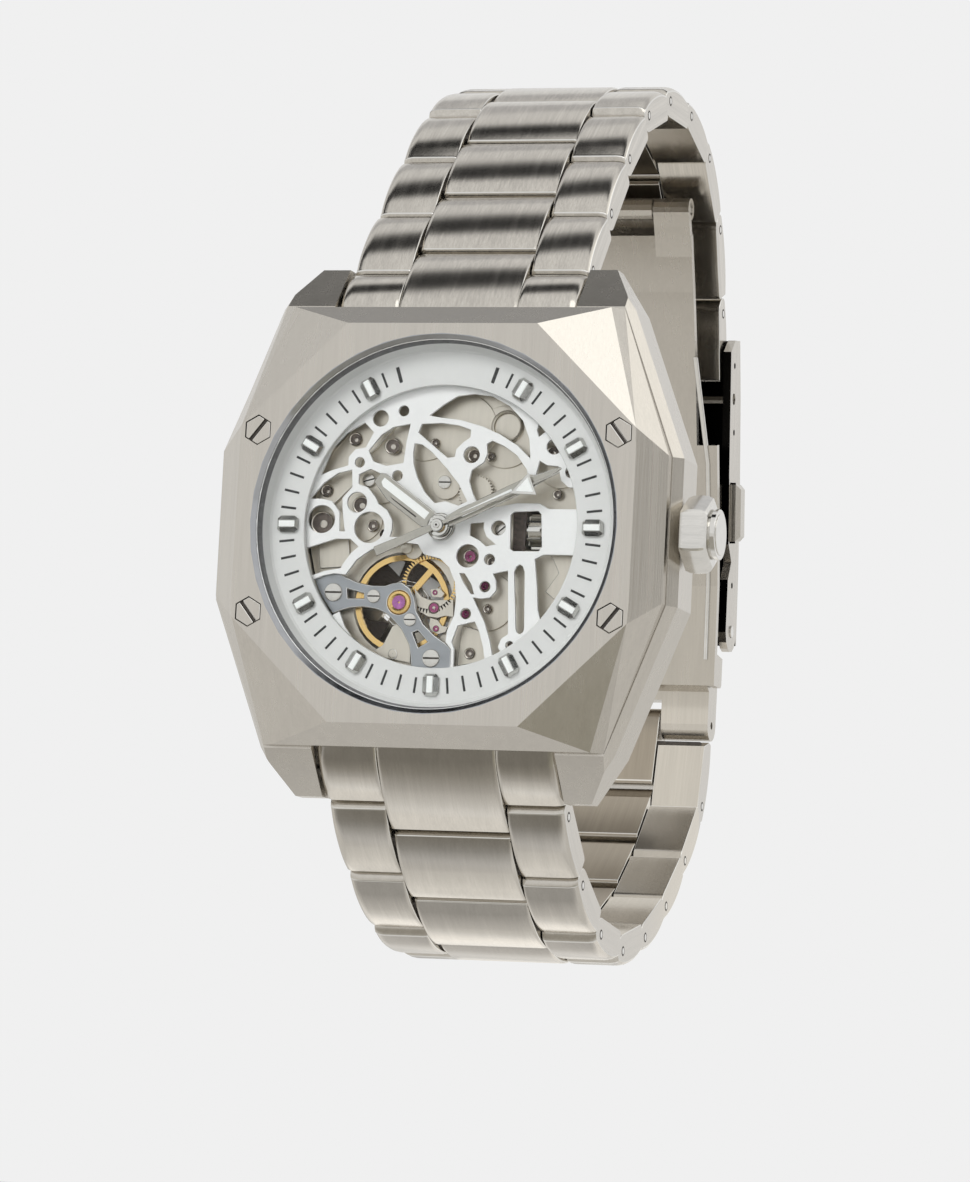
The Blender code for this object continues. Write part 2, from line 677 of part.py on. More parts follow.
def build_winding_pinion():
    teeth = 12
    outline = []
    for k in range(teeth):
        middle = 2 * math.pi * k / teeth
        for reach, share in ((1.2, -0.27), (1.6, -0.14), (1.6, 0.14), (1.2, 0.27)):
            angle = middle + share * 2 * math.pi / teeth
            outline.append((reach * math.cos(angle), reach * math.sin(angle)))
    pinion = add("winding_pinion", extruded(outline, 7.75, 9.0, across), polished(), side(CROWN_DEPTH, 0, PINION_X))
    fuse(pinion, extruded(circle(0, 0, 1.05, 12), 8.9, 10.1, across))
    cut(pinion, extruded(circle(0, 0, STEM_R + PIVOT_GAP, 8), 7, 11, across))


# Bracelet


def chain(start, headings):
    """The hinge places along one side of the bracelet, from the case to the clasp."""
    places = [Vector(start)]
    for heading in headings:
        angle = math.radians(heading)
        places.append(places[-1] + PITCH * Vector((math.cos(angle), math.sin(angle))))
    return places


def link_space(place, heading, sign):
    """Maps a link's own (along, outward, x) to space; sign is 1 on the 12 side and -1 on the 6 side."""
    c = math.cos(math.radians(heading))
    s = math.sin(math.radians(heading))

    def mapped(along, outward, x):
        depth = place[0] + along * c - sign * outward * s
        z = place[1] + along * s + sign * outward * c
        return side(depth, z, x)

    return mapped


def outer_piece(slant):
    """A side piece: round about its own pin, with a low crown; slant draws back its far end on the wrist side."""
    end = PITCH - LINK_R - LINK_GAP
    start = arc(0, 0, LINK_R, 270, 90, 6)
    lower = 0.3 - LINK_R if slant < 0.5 else 0.0
    flat = [(end - 0.3, LINK_R), (end, LINK_R - 0.3), (end, lower), (end - slant, -LINK_R)]
    return start + [(0.5 * end, LINK_R + 0.12)] + flat


def centre_piece(start=None):
    """A centre piece: flat at its near end and round about the next link's pin."""
    first = LINK_R + LINK_GAP if start is None else start
    end = arc(PITCH, 0, LINK_R, -90, 90, 6)
    middle = (first + PITCH) / 2
    return [(first, 0.3 - LINK_R), (first + 0.3, -LINK_R)] + end + [
        (middle, LINK_R + 0.12),
        (first + 0.3, LINK_R),
        (first, LINK_R - 0.3),
    ]


def build_link(name, place, heading, sign, half, slant=0.3):
    space = link_space(place, heading, sign)
    waist = half * CENTRE_SHARE
    inner = waist - SIDE_GAP
    outer = waist + SIDE_GAP / 3
    web = [(2.1, -1.3), (6.6, -1.3), (6.6, 1.3), (2.1, 1.3)]
    near = side(place[0], place[1], 0)
    link = add(name, extruded(centre_piece(), -inner, inner, space), steel(), near, smooth=25.0)
    left = extruded(outer_piece(slant), -half, -outer, space)
    right = extruded(outer_piece(slant), outer, half, space)
    pin = extruded(circle(0, 0, LINK_PIN_R, 8), -half + 0.5, half - 0.5, space)
    fuse(link, left, right, extruded(web, -half + 1, half - 1, space), pin)
    bore = extruded(circle(PITCH, 0, LINK_PIN_R + PIN_GAP, 8), -waist - 1, waist + 1, space)
    cut(link, bore)


def build_end_link(name, start, heading, sign, bar):
    """The piece that fills the lug gap and carries the first link; it is drawn back from its outer hinge."""
    back = (start[0] - PITCH * math.cos(math.radians(heading)), start[1] - PITCH * math.sin(math.radians(heading)))
    space = link_space(back, heading, sign)
    half = END_HALF_WIDTH
    waist = half * CENTRE_SHARE
    wall = sign * (LUG_WALL_Z + 0.1)
    flange = PITCH - LINK_R - LINK_GAP
    waist -= SIDE_GAP
    link = add(name, extruded(centre_piece(-2.0), -waist, waist, space), steel(), smooth=25.0)
    wings = [(-2.0, -LINK_R), (flange - 0.3, -LINK_R), (flange, 0.3 - LINK_R), (flange, LINK_R - 0.3)]
    wings += [(flange - 0.3, LINK_R), (-2.0, LINK_R)]
    foot = [(6.4, wall - sign), (8.8, wall - sign), (8.8, wall + sign * 2.8), (6.4, wall + sign * 2.8)]
    fuse(link, extruded(wings, -half, half, space), extruded(foot, -half + 0.01, half - 0.01, side))
    lip = BEZEL_DEPTH + 0.15
    behind = [(-20.0, wall + sign * 0.35), (lip, wall + sign * 0.35), (lip, wall), (30.0, wall), (30.0, 0), (-20.0, 0)]
    cut(link, extruded(behind, -20, 20, side))
    bore = extruded(circle(PITCH, 0, LINK_PIN_R + PIN_GAP, 8), -waist - 1, waist + 1, space)
    cut(link, bore, rod(bar, SPRING_BAR_R, -12, 12))


def build_bracelet():
    upper = chain(UPPER_START, UPPER_HEADINGS)
    lower = chain(LOWER_START, LOWER_HEADINGS)
    build_end_link("end_link_12", UPPER_START, 50, 1, SPRING_BAR)
    build_end_link("end_link_6", LOWER_START, -50, -1, (SPRING_BAR[0], -SPRING_BAR[1]))
    for k, heading in enumerate(UPPER_HEADINGS):
        build_link(f"link_12_{k + 1}", upper[k], heading, 1, END_HALF_WIDTH - UPPER_TAPER * (k + 1))
    for k, heading in enumerate(LOWER_HEADINGS):
        slant = 0.95 if k == 7 else 0.3
        build_link(f"link_6_{k + 1}", lower[k], heading, -1, END_HALF_WIDTH - LOWER_TAPER * (k + 1), slant)


# Clasp


def clasp_point(s, n):
    """A side-plane point of the clasp: s runs down the cover from the spring bar, n outward from it."""
    bar = chain(UPPER_START, UPPER_HEADINGS)[-1]
    depth = bar[0] + s * math.sin(COVER_TILT) + n * math.cos(COVER_TILT)
    z = bar[1] - s * math.cos(COVER_TILT) + n * math.sin(COVER_TILT)
    return (depth, z)


def clasp_space(s, n, x):
    depth, z = clasp_point(s, n)
    return side(depth, z, x)


def build_cover():
    bar = clasp_point(0, 0)
    outer = [(COVER_TOP, 1.9), (RIVET_S + 1.5, 1.9), (RIVET_S + 1.5, 2.2), (18.0, 2.75), (9.0, 3.0), (0.0, 2.8), (COVER_TOP, 2.3)]
    flange = [(COVER_TOP, 2.0), (COVER_TOP, 0.4), (COVER_TOP + 1.2, -1.3), (7.8, -1.5), (8.6, -1.4), (14.8, -1.4)]
    flange += [(16.6, -0.2), (18.4, -1.5), (RIVET_S, -2.1)]
    flange += arc(RIVET_S, 0.0, 2.1, -60, 60, 5) + [(RIVET_S + 0.4, 2.0)]
    half = COVER_HALF_WIDTH
    pivot = side(bar[0], bar[1], 0)
    cover = add("clasp_cover", extruded(outer, -half, half, clasp_space), steel(), pivot, smooth=25.0)
    walls = [(-half, COVER_WALL - half), (half - COVER_WALL, half)]
    fuse(cover, *[extruded(flange, first, last, clasp_space) for first, last in walls])
    holes = [extruded(circle(s, 0.2, 0.35, 6), -20, 20, clasp_space) for s in (-3.4, 3.4, 19.0)]
    holes.append(extruded(circle(0, 0, 0.62, 8), -20, 20, clasp_space))
    holes.append(extruded(circle(RIVET_S, 0, 0.66, 8), -20, 20, clasp_space))
    window = [(PUSHER_S - 3.1, -1.1), (PUSHER_S + 3.1, -1.1), (PUSHER_S + 3.1, 1.3), (PUSHER_S - 3.1, 1.3)]
    holes.append(extruded(window, -20, 20, clasp_space))
    cut(cover, *holes)
    add("clasp_spring_bar", rod(bar, 0.5, -11.0, 11.0), polished(), pivot)
    rivet = clasp_point(RIVET_S, 0)
    add("clasp_hinge_pin", rod(rivet, 0.6, -11.3, 11.3), polished(), side(rivet[0], rivet[1], 0))


def build_pushers():
    for name, sign in (("push_button_right", 1), ("push_button_left", -1)):
        middle = clasp_point(PUSHER_S, 0.1)
        button = [(PUSHER_S - 2.9, -0.95), (PUSHER_S + 2.9, -0.95), (PUSHER_S + 2.9, 1.15), (PUSHER_S - 2.9, 1.15)]
        top = [(PUSHER_S - 2.4, -0.7), (PUSHER_S + 2.4, -0.7), (PUSHER_S + 2.4, 0.9), (PUSHER_S - 2.4, 0.9)]
        rings = [(button, sign * 9.4), (button, sign * 11.7), (top, sign * 12.2)]
        solid = lofted(rings, clasp_space)
        bmesh.ops.recalc_face_normals(solid, faces=solid.faces)
        add(name, solid, polished(), side(middle[0], middle[1], sign * 11))


def build_middle_blade():
    rivet = clasp_point(RIVET_S, 0)
    hinge = BLADE_HINGE
    spine = [hinge, (56.2, 35.6), (59.1, 30.4), (61.5, 22.3), (63.4, 12.5), (65.3, 4.5), rivet]
    blade = add(
        "middle_blade",
        extruded(strip(spine, BLADE_THICKNESS), -5.0, 5.0, side),
        steel(),
        side(rivet[0], rivet[1], 0),
        smooth=25.0,
    )
    wide = strip(spine[4:], BLADE_THICKNESS - 0.02)
    knuckles = (rod(rivet, 1.25, -7.9, 7.9, 12), rod(hinge, 1.1, -5.01, 5.01, 12))
    fuse(blade, extruded(wide, -7.9, 7.9, side), *knuckles)
    cut(blade, rod(rivet, 0.68, -20, 20), rod(hinge, 0.66, -20, 20))
    add("blade_hinge_pin", rod(hinge, 0.58, -8.7, 8.7), polished(), side(hinge[0], hinge[1], 0))


def blade_end_piece(pin):
    """Side outlines of the blade's link-shaped end: a side piece round about the last pin, and the bar that joins two."""
    top = [(62.6, BLADE_END_Z + 0.2), (62.6, -5.5), (66.3, -5.5), (67.08, -7.0)]
    piece = top + arc(pin[0], pin[1], LINK_R, 0, -180, 8) + [(pin[0] - LINK_R, BLADE_END_Z - 0.5)]
    bar = [(62.62, BLADE_END_Z + 0.22), (62.62, -5.52), (66.28, -5.52), (67.06, -7.02), (67.06, -9.5), (63.9, -9.5)]
    return piece, bar + [(63.9, BLADE_END_Z - 0.48)]


def build_inner_blade():
    hinge = BLADE_HINGE
    pin = chain(LOWER_START, LOWER_HEADINGS)[-1]
    spine = [(53.2, 36.4), (55.2, 31.0), (57.4, 24.0), (59.4, 16.0), (61.0, 9.0), (62.2, 2.0), (62.6, BLADE_END_Z)]
    pivot = side(hinge[0], hinge[1], 0)
    plate = strip(spine, BLADE_THICKNESS)
    blade = add("inner_blade", extruded(plate, -8.9, 8.9, side), steel(), pivot, smooth=25.0)
    half = BLADE_HALF_WIDTH
    bodies = [extruded(strip(spine[3:], BLADE_THICKNESS - 0.02), -half, half, side)]
    tab = strip([(51.9, 38.6), (52.6, 37.2), (54.2, 33.8)], BLADE_THICKNESS - 0.04)
    flange = [(62.5, -4.8), (65.2, -5.1), (65.2, BLADE_END_Z + 0.3), (64.9, BLADE_END_Z), (62.5, BLADE_END_Z)]
    piece, bar = blade_end_piece(pin)
    outer = END_HALF_WIDTH - 8 * LOWER_TAPER
    inner = outer * CENTRE_SHARE + SIDE_GAP / 3
    ends = []
    for sign in (1, -1):
        bodies.append(extruded(tab, sign * 5.2, sign * 8.88, side))
        bodies.append(extruded(circle(hinge[0], hinge[1], 1.12, 12), sign * 5.21, sign * 8.87, side))
        bodies.append(extruded(flange, sign * (half - FLANGE_WALL), sign * (half - 0.01), side))
        ends.append(extruded(piece, sign * inner, sign * outer, side))
    fuse(blade, *bodies)
    fuse(blade, extruded(bar, -inner - 0.5, inner + 0.5, side))
    fuse(blade, *ends)
    holes = [extruded(circle(pin[0], pin[1], 0.4, 8), sign * (outer - 0.5), sign * 20, side) for sign in (1, -1)]
    cut(blade, rod(hinge, 0.66, -20, 20), *holes)


def main():
    clear_scene()
    build_bezel()
    build_bezel_screws()
    build_case_middle()
    build_glass_and_back()
    build_chapter_ring()
    build_dial_plate()
    build_spring_bars()
    build_plates()
    build_balance_bridge()
    build_going_train()
    build_barrel()
    build_escapement()
    build_balance()
    build_rotor()
    build_hands()
    build_crown()
    build_winding_pinion()
    build_bracelet()
    build_cover()
    build_pushers()
    build_middle_blade()
    build_inner_blade()


main()
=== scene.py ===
"""Looks of the skeleton wristwatch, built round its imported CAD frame.

The row frame has +X towards 3 o'clock, +Z towards 12 o'clock and the dial facing -Y, in metres. The helpers
below take millimetres, and a depth is measured behind the bezel's flat top.
"""

import json
import math
from functools import cache

import bmesh
import bpy
from mathutils import Matrix, Vector


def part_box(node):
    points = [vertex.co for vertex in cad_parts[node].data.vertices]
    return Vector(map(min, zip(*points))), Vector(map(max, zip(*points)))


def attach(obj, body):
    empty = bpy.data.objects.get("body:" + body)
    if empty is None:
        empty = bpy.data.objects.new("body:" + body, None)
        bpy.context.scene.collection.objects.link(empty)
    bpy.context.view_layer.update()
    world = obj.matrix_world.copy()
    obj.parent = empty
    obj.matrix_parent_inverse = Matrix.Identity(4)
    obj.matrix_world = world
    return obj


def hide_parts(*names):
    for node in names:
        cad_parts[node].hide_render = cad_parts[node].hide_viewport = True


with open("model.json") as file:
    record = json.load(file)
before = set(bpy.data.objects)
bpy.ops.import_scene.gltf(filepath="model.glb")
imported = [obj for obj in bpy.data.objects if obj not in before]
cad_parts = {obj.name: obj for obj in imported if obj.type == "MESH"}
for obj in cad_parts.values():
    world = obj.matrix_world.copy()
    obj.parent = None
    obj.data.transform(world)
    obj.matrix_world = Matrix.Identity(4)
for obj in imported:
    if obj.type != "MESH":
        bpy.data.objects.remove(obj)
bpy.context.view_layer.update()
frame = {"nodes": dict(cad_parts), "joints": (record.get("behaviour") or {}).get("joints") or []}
NODES = frame["nodes"]
JOINTS = {joint["name"]: joint for joint in frame["joints"]}

MM = 0.001
CASE_DEPTH = 12.6
LINK_R = 1.6
LINK_GAP = 0.22
LINK_SPAN = 8.7
LINK_SEAM = 0.13
CENTRE_SHARE = 0.51
LAST_LINK_HEADING = 75.0
SLOT_SLANT = 38
LINK_SAG = 0.6
CROWN_STEPS = 9
SOFT_EDGE = ((0.0, 0.14), (0.12, 0.05), (0.4, 0.0))
ROUND_EDGE = ((0.0, 0.42), (0.14, 0.24), (0.4, 0.09), (0.9, 0.0))

# Dial side
DIAL_FRONT = 3.05
DIAL_BACK = 3.4
DIAL_R = 14.0
CHAPTER_INNER = 13.0
CHAPTER_OUTER = 16.1
CHAPTER_FRONT = 2.35
TICK_INNER = 13.95
TICK_OUTER = 15.4
MARKER_R = 14.54
PLATE_FRONT = 4.8
BRIDGE_FRONT = 3.5
BRIDGE_BACK = 4.1
JEWEL_PLACE = (-3.87, -6.92)
HOUR_ANGLE = -54.5
MINUTE_ANGLE = 64.5
SECONDS_ANGLE = 66.5

ROOM_COLOR = (0.871, 0.871, 0.871)
FLOOR_HEIGHT = -0.078
AIM = Vector((0, 0.01, 0))
SIDEWAYS = (1, 0, 0)
ENDWAYS = (0, 1, 0)
UPWARD = (0, 0, 1)
STEEL_TONE = (0.60, 0.568, 0.515)
BRIGHT_TONE = (0.74, 0.725, 0.69)


def front(x, z, depth):
    return Vector((x, depth - CASE_DEPTH, z)) * MM


# Stage: camera, light, floor


def build_camera():
    data = bpy.data.cameras.new("camera")
    data.lens = 163.54
    data.sensor_width = 36.0
    data.clip_start = 0.01
    data.clip_end = 50.0
    camera = bpy.data.objects.new("camera", data)
    right = Vector((0.95674, 0.28649, 0.05068))
    up = Vector((-0.01638, -0.12086, 0.99253))
    back = Vector((0.29047, -0.95043, -0.11094))
    turn = Matrix((right, up, back)).transposed()
    camera.matrix_world = Matrix.Translation(front(146.159, -59.919, -460.649)) @ turn.to_4x4()
    bpy.context.scene.collection.objects.link(camera)
    bpy.context.scene.camera = camera


def card(name, place, normal, along, width, height, color, soft=0.0):
    """A flat studio card seen in reflections only; width runs along the given direction.

    Without a normal it faces the object. A soft card fades into the room's tone towards its long edges.
    """
    place = Vector(place)
    normal = Vector(normal).normalized() if normal else -place.normalized()
    x_axis = (Vector(along) - normal * normal.dot(Vector(along))).normalized()
    y_axis = normal.cross(x_axis)
    bm = bmesh.new()
    for x, y in rectangle(-width / 2, width / 2, -height / 2, height / 2):
        bm.verts.new((x, y, 0))
    bm.faces.new(bm.verts)
    mesh = bpy.data.meshes.new(name)
    bm.to_mesh(mesh)
    bm.free()
    made = bpy.data.objects.new(name, mesh)
    turned = Matrix((x_axis, y_axis, normal)).transposed().to_4x4()
    made.matrix_world = Matrix.Translation(place) @ turned
    bpy.context.scene.collection.objects.link(made)
    mesh.materials.append(card_glow(name, color, height / 2, soft))
    made.visible_camera = False
    made.visible_shadow = False
    made.visible_diffuse = False
    made.visible_transmission = False


def card_glow(name, color, half, soft):
    """Light of one colour, fading to the room's tone over the soft share of each half height."""
    look, tree = empty_look(name)
    light = (*color, 1)
    if soft:
        place = add(tree, "TexCoord", {}).outputs["Object"]
        split = add(tree, "SeparateXYZ", {0: place})
        across = add(tree, "Math", {0: split.outputs["Y"]}, operation="ABSOLUTE")
        share = ranged(tree, across.outputs[0], 0, 1, half * (1 - soft), half)
        light = blended(tree, share, light, (*ROOM_COLOR, 1))
    glow = add(tree, "Emission", {"Color": light})
    add(tree, "OutputMaterial", {0: glow.outputs[0]})
    return look


def soft_light(name, place, size, power):
    """A studio lamp that lights the object but isn't mirrored in it."""
    data = bpy.data.lights.new(name, "AREA")
    data.shape = "RECTANGLE"
    data.size = size[0]
    data.size_y = size[1]
    data.energy = power
    light = bpy.data.objects.new(name, data)
    aim = (AIM - Vector(place)).to_track_quat("-Z", "Y")
    light.matrix_world = Matrix.Translation(place) @ aim.to_matrix().to_4x4()
    light.visible_camera = False
    light.visible_glossy = False
    bpy.context.scene.collection.objects.link(light)


def build_floor():
    bm = bmesh.new()
    bmesh.ops.create_circle(bm, cap_ends=True, radius=6, segments=64)
    mesh = bpy.data.meshes.new("floor")
    bm.to_mesh(mesh)
    bm.free()
    floor = bpy.data.objects.new("floor", mesh)
    floor.location = (0, 0, FLOOR_HEIGHT)
    bpy.context.scene.collection.objects.link(floor)
    mesh.materials.append(paint("floor_paper", (0.58, 0.58, 0.577), 0.9, 0.01, 3.0))


# Names, places (m), normals, width directions, widths, heights, colours, and soft shares
CARDS = (
    ("overhead", (-0.5, -0.05, 1.65), None, SIDEWAYS, 3.6, 0.78, (0.012, 0.012, 0.013), 0.5),
    ("front_top", (0.55, -1.15, 1.2), None, SIDEWAYS, 1.1, 0.7, (1.9, 1.9, 1.88), 0),
    ("right_top", (1.35, 0.5, 1.05), None, ENDWAYS, 1.6, 0.8, (1.4, 1.39, 1.36), 0),
    ("top_back", (-0.4, 1.0, 1.45), None, SIDEWAYS, 3.0, 0.5, (0.6, 0.6, 0.61), 0),
    ("below", (0, 0, -0.0765), UPWARD, SIDEWAYS, 6.0, 6.0, (0.74, 0.73, 0.71), 0),
    ("low_right", (0.052, -0.09, -0.0755), UPWARD, SIDEWAYS, 0.08, 0.09, (0.46, 0.44, 0.37), 0),
    ("inside_front", (0.0, 0.019, -0.004), (0, 1, 0), SIDEWAYS, 0.03, 0.052, (0.78, 0.76, 0.72), 0),
    ("inside_back", (0.0, 0.049, -0.028), (0, -1, 0), SIDEWAYS, 0.03, 0.036, (0.95, 0.93, 0.89), 0),
    ("right", (1.7, -0.02, 0.16), None, ENDWAYS, 0.9, 0.8, (0.36, 0.35, 0.325), 0),
    ("front_floor", (-0.01, -0.152, -0.0757), UPWARD, SIDEWAYS, 0.12, 0.30, (0.40, 0.38, 0.34), 0.2),
    ("back_floor", (0.0, 0.08, -0.0757), UPWARD, SIDEWAYS, 0.12, 0.08, (1.05, 1.03, 1.0), 0.2),
)


def build_stage():
    scene = bpy.context.scene
    scene.view_settings.view_transform = "Standard"
    world = bpy.data.worlds.new("studio")
    scene.world = world
    world.use_nodes = True
    sky = world.node_tree.nodes["Background"]
    sky.inputs["Color"].default_value = (*ROOM_COLOR, 1)
    build_floor()
    for name, *values in CARDS:
        card("card_" + name, *values)
    soft_light("key", (-0.7, -1.5, 1.2), (0.9, 0.9), 22)
    soft_light("fill", (1.6, -0.9, 0.5), (0.6, 1.2), 8)


# Materials


def start_look(name):
    look = bpy.data.materials.new(name)
    look.use_nodes = True
    return look, look.node_tree, look.node_tree.nodes["Principled BSDF"]


def empty_look(name):
    look = bpy.data.materials.new(name)
    look.use_nodes = True
    look.node_tree.nodes.clear()
    return look, look.node_tree


def add(tree, kind, inputs, **settings):
    """Adds a shader node; each input gets a value, or the socket that feeds it."""
    node = tree.nodes.new("ShaderNode" + kind)
    for key, value in settings.items():
        setattr(node, key, value)
    for key, value in inputs.items():
        if isinstance(value, bpy.types.NodeSocket):
            tree.links.new(value, node.inputs[key])
        else:
            node.inputs[key].default_value = value
    return node


def noise(tree, scale, detail=2.0, turn=(0, 0, 0)):
    """A noise pattern in the object's own metres, stretched by a scale per axis."""
    place = add(tree, "TexCoord", {}).outputs["Object"]
    mapping = add(tree, "Mapping", {"Rotation": turn, "Scale": scale, "Vector": place})
    pattern = add(tree, "TexNoise", {"Scale": 1.0, "Detail": detail, "Vector": mapping.outputs["Vector"]})
    return pattern.outputs["Fac"]


def ranged(tree, source, low, high, first=0.3, last=0.7):
    """Maps a value between first and last to one between low and high."""
    inputs = {"From Min": first, "From Max": last, "To Min": low, "To Max": high, "Value": source}
    return add(tree, "MapRange", inputs).outputs["Result"]


def blended(tree, share, first, second, kind="MIX"):
    inputs = {"Factor": share, "A": first, "B": second}
    return add(tree, "Mix", inputs, data_type="RGBA", blend_type=kind).outputs["Result"]


def toned(tree, source, color, spread):
    """The base colour, a little darker and lighter along a pattern."""
    ramp = add(tree, "ValToRGB", {"Fac": source})
    for stop, position, share in zip(ramp.color_ramp.elements, (0.3, 0.7), (1 - spread, 1 + spread)):
        stop.position = position
        stop.color = (*[min(1, c * share) for c in color], 1)
    return ramp.outputs["Color"]


def bumped(tree, shader, source, height):
    bump = add(tree, "Bump", {"Strength": 1.0, "Distance": height, "Height": source})
    tree.links.new(bump.outputs["Normal"], shader.inputs["Normal"])


def painted_facet_shade_and_light(tree, color_out, facets):
    """Multiplies the colour on facets that face given directions, as painted light: a factor below 1 paints
    shade and one above 1 paints a highlight; each facet is (direction, factor).
    """
    normal = add(tree, "TexCoord", {}).outputs["Normal"]
    for direction, factor in facets:
        aim = Vector(direction).normalized()
        dot = add(tree, "VectorMath", {0: normal, 1: aim}, operation="DOT_PRODUCT")
        share = ranged(tree, dot.outputs["Value"], 0, 1, 0.9, 0.97)
        color_out = blended(tree, share, color_out, (factor, factor, factor, 1), "MULTIPLY")
    return color_out


@cache
def brushed(name, color, roughness, fine, turn=(0, 0, 0), height=6e-6, spread=0.1, facets=()):
    """Metal with fine parallel brush lines; fine is the lines' density along each axis, per metre. Any facets
    given get painted shade and painted highlight by the way they face.
    """
    look, tree, shader = start_look(name)
    lines = noise(tree, fine, 3.0, turn)
    streaks = noise(tree, [f * 0.17 for f in fine], 2.0, turn)
    both = add(tree, "Math", {0: lines, 1: streaks}, operation="ADD")
    half = add(tree, "Math", {0: both.outputs[0], 1: 0.5}, operation="MULTIPLY")
    tone = painted_facet_shade_and_light(tree, toned(tree, half.outputs[0], color, spread), facets)
    shader.inputs["Metallic"].default_value = 1.0
    tree.links.new(tone, shader.inputs["Base Color"])
    tree.links.new(ranged(tree, streaks, roughness * 0.93, roughness * 1.08), shader.inputs["Roughness"])
    bumped(tree, shader, lines, height)
    return look


@cache
def polished(name, color, roughness=0.12):
    """Smooth metal with faint handling marks."""
    look, tree, shader = start_look(name)
    marks = noise(tree, (900, 900, 900), 4.0)
    shader.inputs["Metallic"].default_value = 1.0
    tree.links.new(toned(tree, marks, color, 0.04), shader.inputs["Base Color"])
    tree.links.new(ranged(tree, marks, roughness * 0.7, roughness * 1.3), shader.inputs["Roughness"])
    bumped(tree, shader, marks, 1e-6)
    return look


@cache
def paint(name, color, roughness, spread=0.02, density=2500.0):
    """Enamel, lacquer, plastic or paper with a faint mottle."""
    look, tree, shader = start_look(name)
    mottle = noise(tree, (density, density, density), 3.0)
    tree.links.new(toned(tree, mottle, color, spread), shader.inputs["Base Color"])
    tree.links.new(ranged(tree, mottle, roughness * 0.9, roughness * 1.1), shader.inputs["Roughness"])
    bumped(tree, shader, mottle, 1e-6)
    return look


def crystal_glass(name, tint):
    """Clear thin glass: it lets light straight through and mirrors a little at a slant."""
    look, tree = empty_look(name)
    smears = noise(tree, (120, 120, 120), 2.0)
    clear = add(tree, "BsdfTransparent", {"Color": toned(tree, smears, tint, 0.004)})
    gloss = add(tree, "BsdfGlossy", {})
    gloss.inputs["Roughness"].default_value = 0.02
    edge = add(tree, "Fresnel", {})
    edge.inputs["IOR"].default_value = 1.2
    mix = add(tree, "MixShader", {0: edge.outputs[0], 1: clear.outputs[0], 2: gloss.outputs[0]})
    add(tree, "OutputMaterial", {"Surface": mix.outputs[0]})
    return look


VERTICAL = (6500, 6500, 160)
LENGTHWAYS = (6500, 160, 6500)


def case_steel():
    """Brushed steel with painted shade, a little darker on the top, lower right and bottom facets."""
    facets = (((0, -0.65, 0.76), 0.6), ((0.3, -0.9, -0.31), 0.85), ((0, -0.58, -0.82), 0.92))
    return brushed("steel_case", STEEL_TONE, 0.26, VERTICAL, height=5e-6, spread=0.05, facets=facets)


def low_link_steel():
    """The 6 o'clock side's links: painted shade towards their near ends and a painted highlight towards their
    far ends.
    """
    facets = (((0, -0.42, 0.9), 0.62), ((0, 0.42, 0.9), 1.35))
    return brushed("steel_link_low", STEEL_TONE, 0.2, LENGTHWAYS, height=4e-6, spread=0.07, facets=facets)


def link_steel():
    return brushed("steel_link", STEEL_TONE, 0.18, LENGTHWAYS, spread=0.14)


def crown_steel():
    return brushed("steel_crown", BRIGHT_TONE, 0.22, (160, 5500, 5500), height=4e-6)


# A darker, browner copy of the link steel: painted shade for the links' wrist-side faces inside the loop.
def wrist_side_shaded_steel():
    return brushed("steel_wrist_side_painted_shade", (0.36, 0.32, 0.265), 0.3, LENGTHWAYS, height=5e-6, spread=0.1)


def cover_steel():
    """The clasp cover: brushed outside, near black with painted shade in its hollow towards the wrist."""
    return brushed("steel_cover", STEEL_TONE, 0.26, VERTICAL, facets=(((0, -1, -0.05), 0.012),))


def mirror_steel():
    return polished("steel_polished", BRIGHT_TONE, 0.1)


def nickel():
    grain = (2600, 2600, 300)
    return brushed("nickel_satin", (0.74, 0.695, 0.61), 0.36, grain, (0, 0.4, 0), 3e-6, 0.07)


def bright_nickel():
    return polished("nickel_bright", (0.60, 0.56, 0.50), 0.2)


def gold():
    return polished("gilt", (0.86, 0.60, 0.25), 0.2)


def barrel_brown():
    return paint("barrel_brown", (0.085, 0.062, 0.045), 0.45, 0.6, 5200.0)


def white_plate():
    return paint("dial_white", (0.86, 0.86, 0.85), 0.42, 0.015)


def chapter_white():
    return paint("chapter_silver", (0.71, 0.71, 0.695), 0.4, 0.015)


def black_print():
    return paint("black_print", (0.03, 0.03, 0.03), 0.5, 0.3)


def lume():
    return paint("lume", (0.93, 0.94, 0.92), 0.6, 0.01)


def bridge_grey():
    return polished("bridge_grey_blue", (0.43, 0.45, 0.475), 0.4)


def ruby():
    return paint("ruby", (0.30, 0.06, 0.16), 0.12, 0.25)


# Near black painted shade, put in slots, holes, slits and gaps between parts where only shade falls.
def hollow():
    return paint("hollow_painted_shade", (0.045, 0.038, 0.032), 0.6, 0.4)


# Mesh helpers

# The radius of the tiny hole left at the centre of a turned disc
POLE = 0.012


def rectangle(left, right, low, high):
    return [(left, low), (right, low), (right, high), (left, high)]


def moved(points, x, z):
    return [(x + a, z + b) for a, b in points]


def mirrored(right):
    """An outline from its right half, listed from its tip down."""
    return [(-x, z) for x, z in right[::-1]] + right


def circle(cx, cy, radius, count=24, phase=0.0):
    steps = [phase + 2 * math.pi * k / count for k in range(count)]
    return [(cx + radius * math.cos(a), cy + radius * math.sin(a)) for a in steps]


def arc(cx, cy, radius, first, last, count):
    steps = [math.radians(first + (last - first) * k / count) for k in range(count + 1)]
    return [(cx + radius * math.cos(a), cy + radius * math.sin(a)) for a in steps]


def turn(points, bearing):
    """Points in the dial plane, turned clockwise by a bearing in degrees."""
    c = math.cos(math.radians(bearing))
    s = math.sin(math.radians(bearing))
    return [(x * c + z * s, z * c - x * s) for x, z in points]


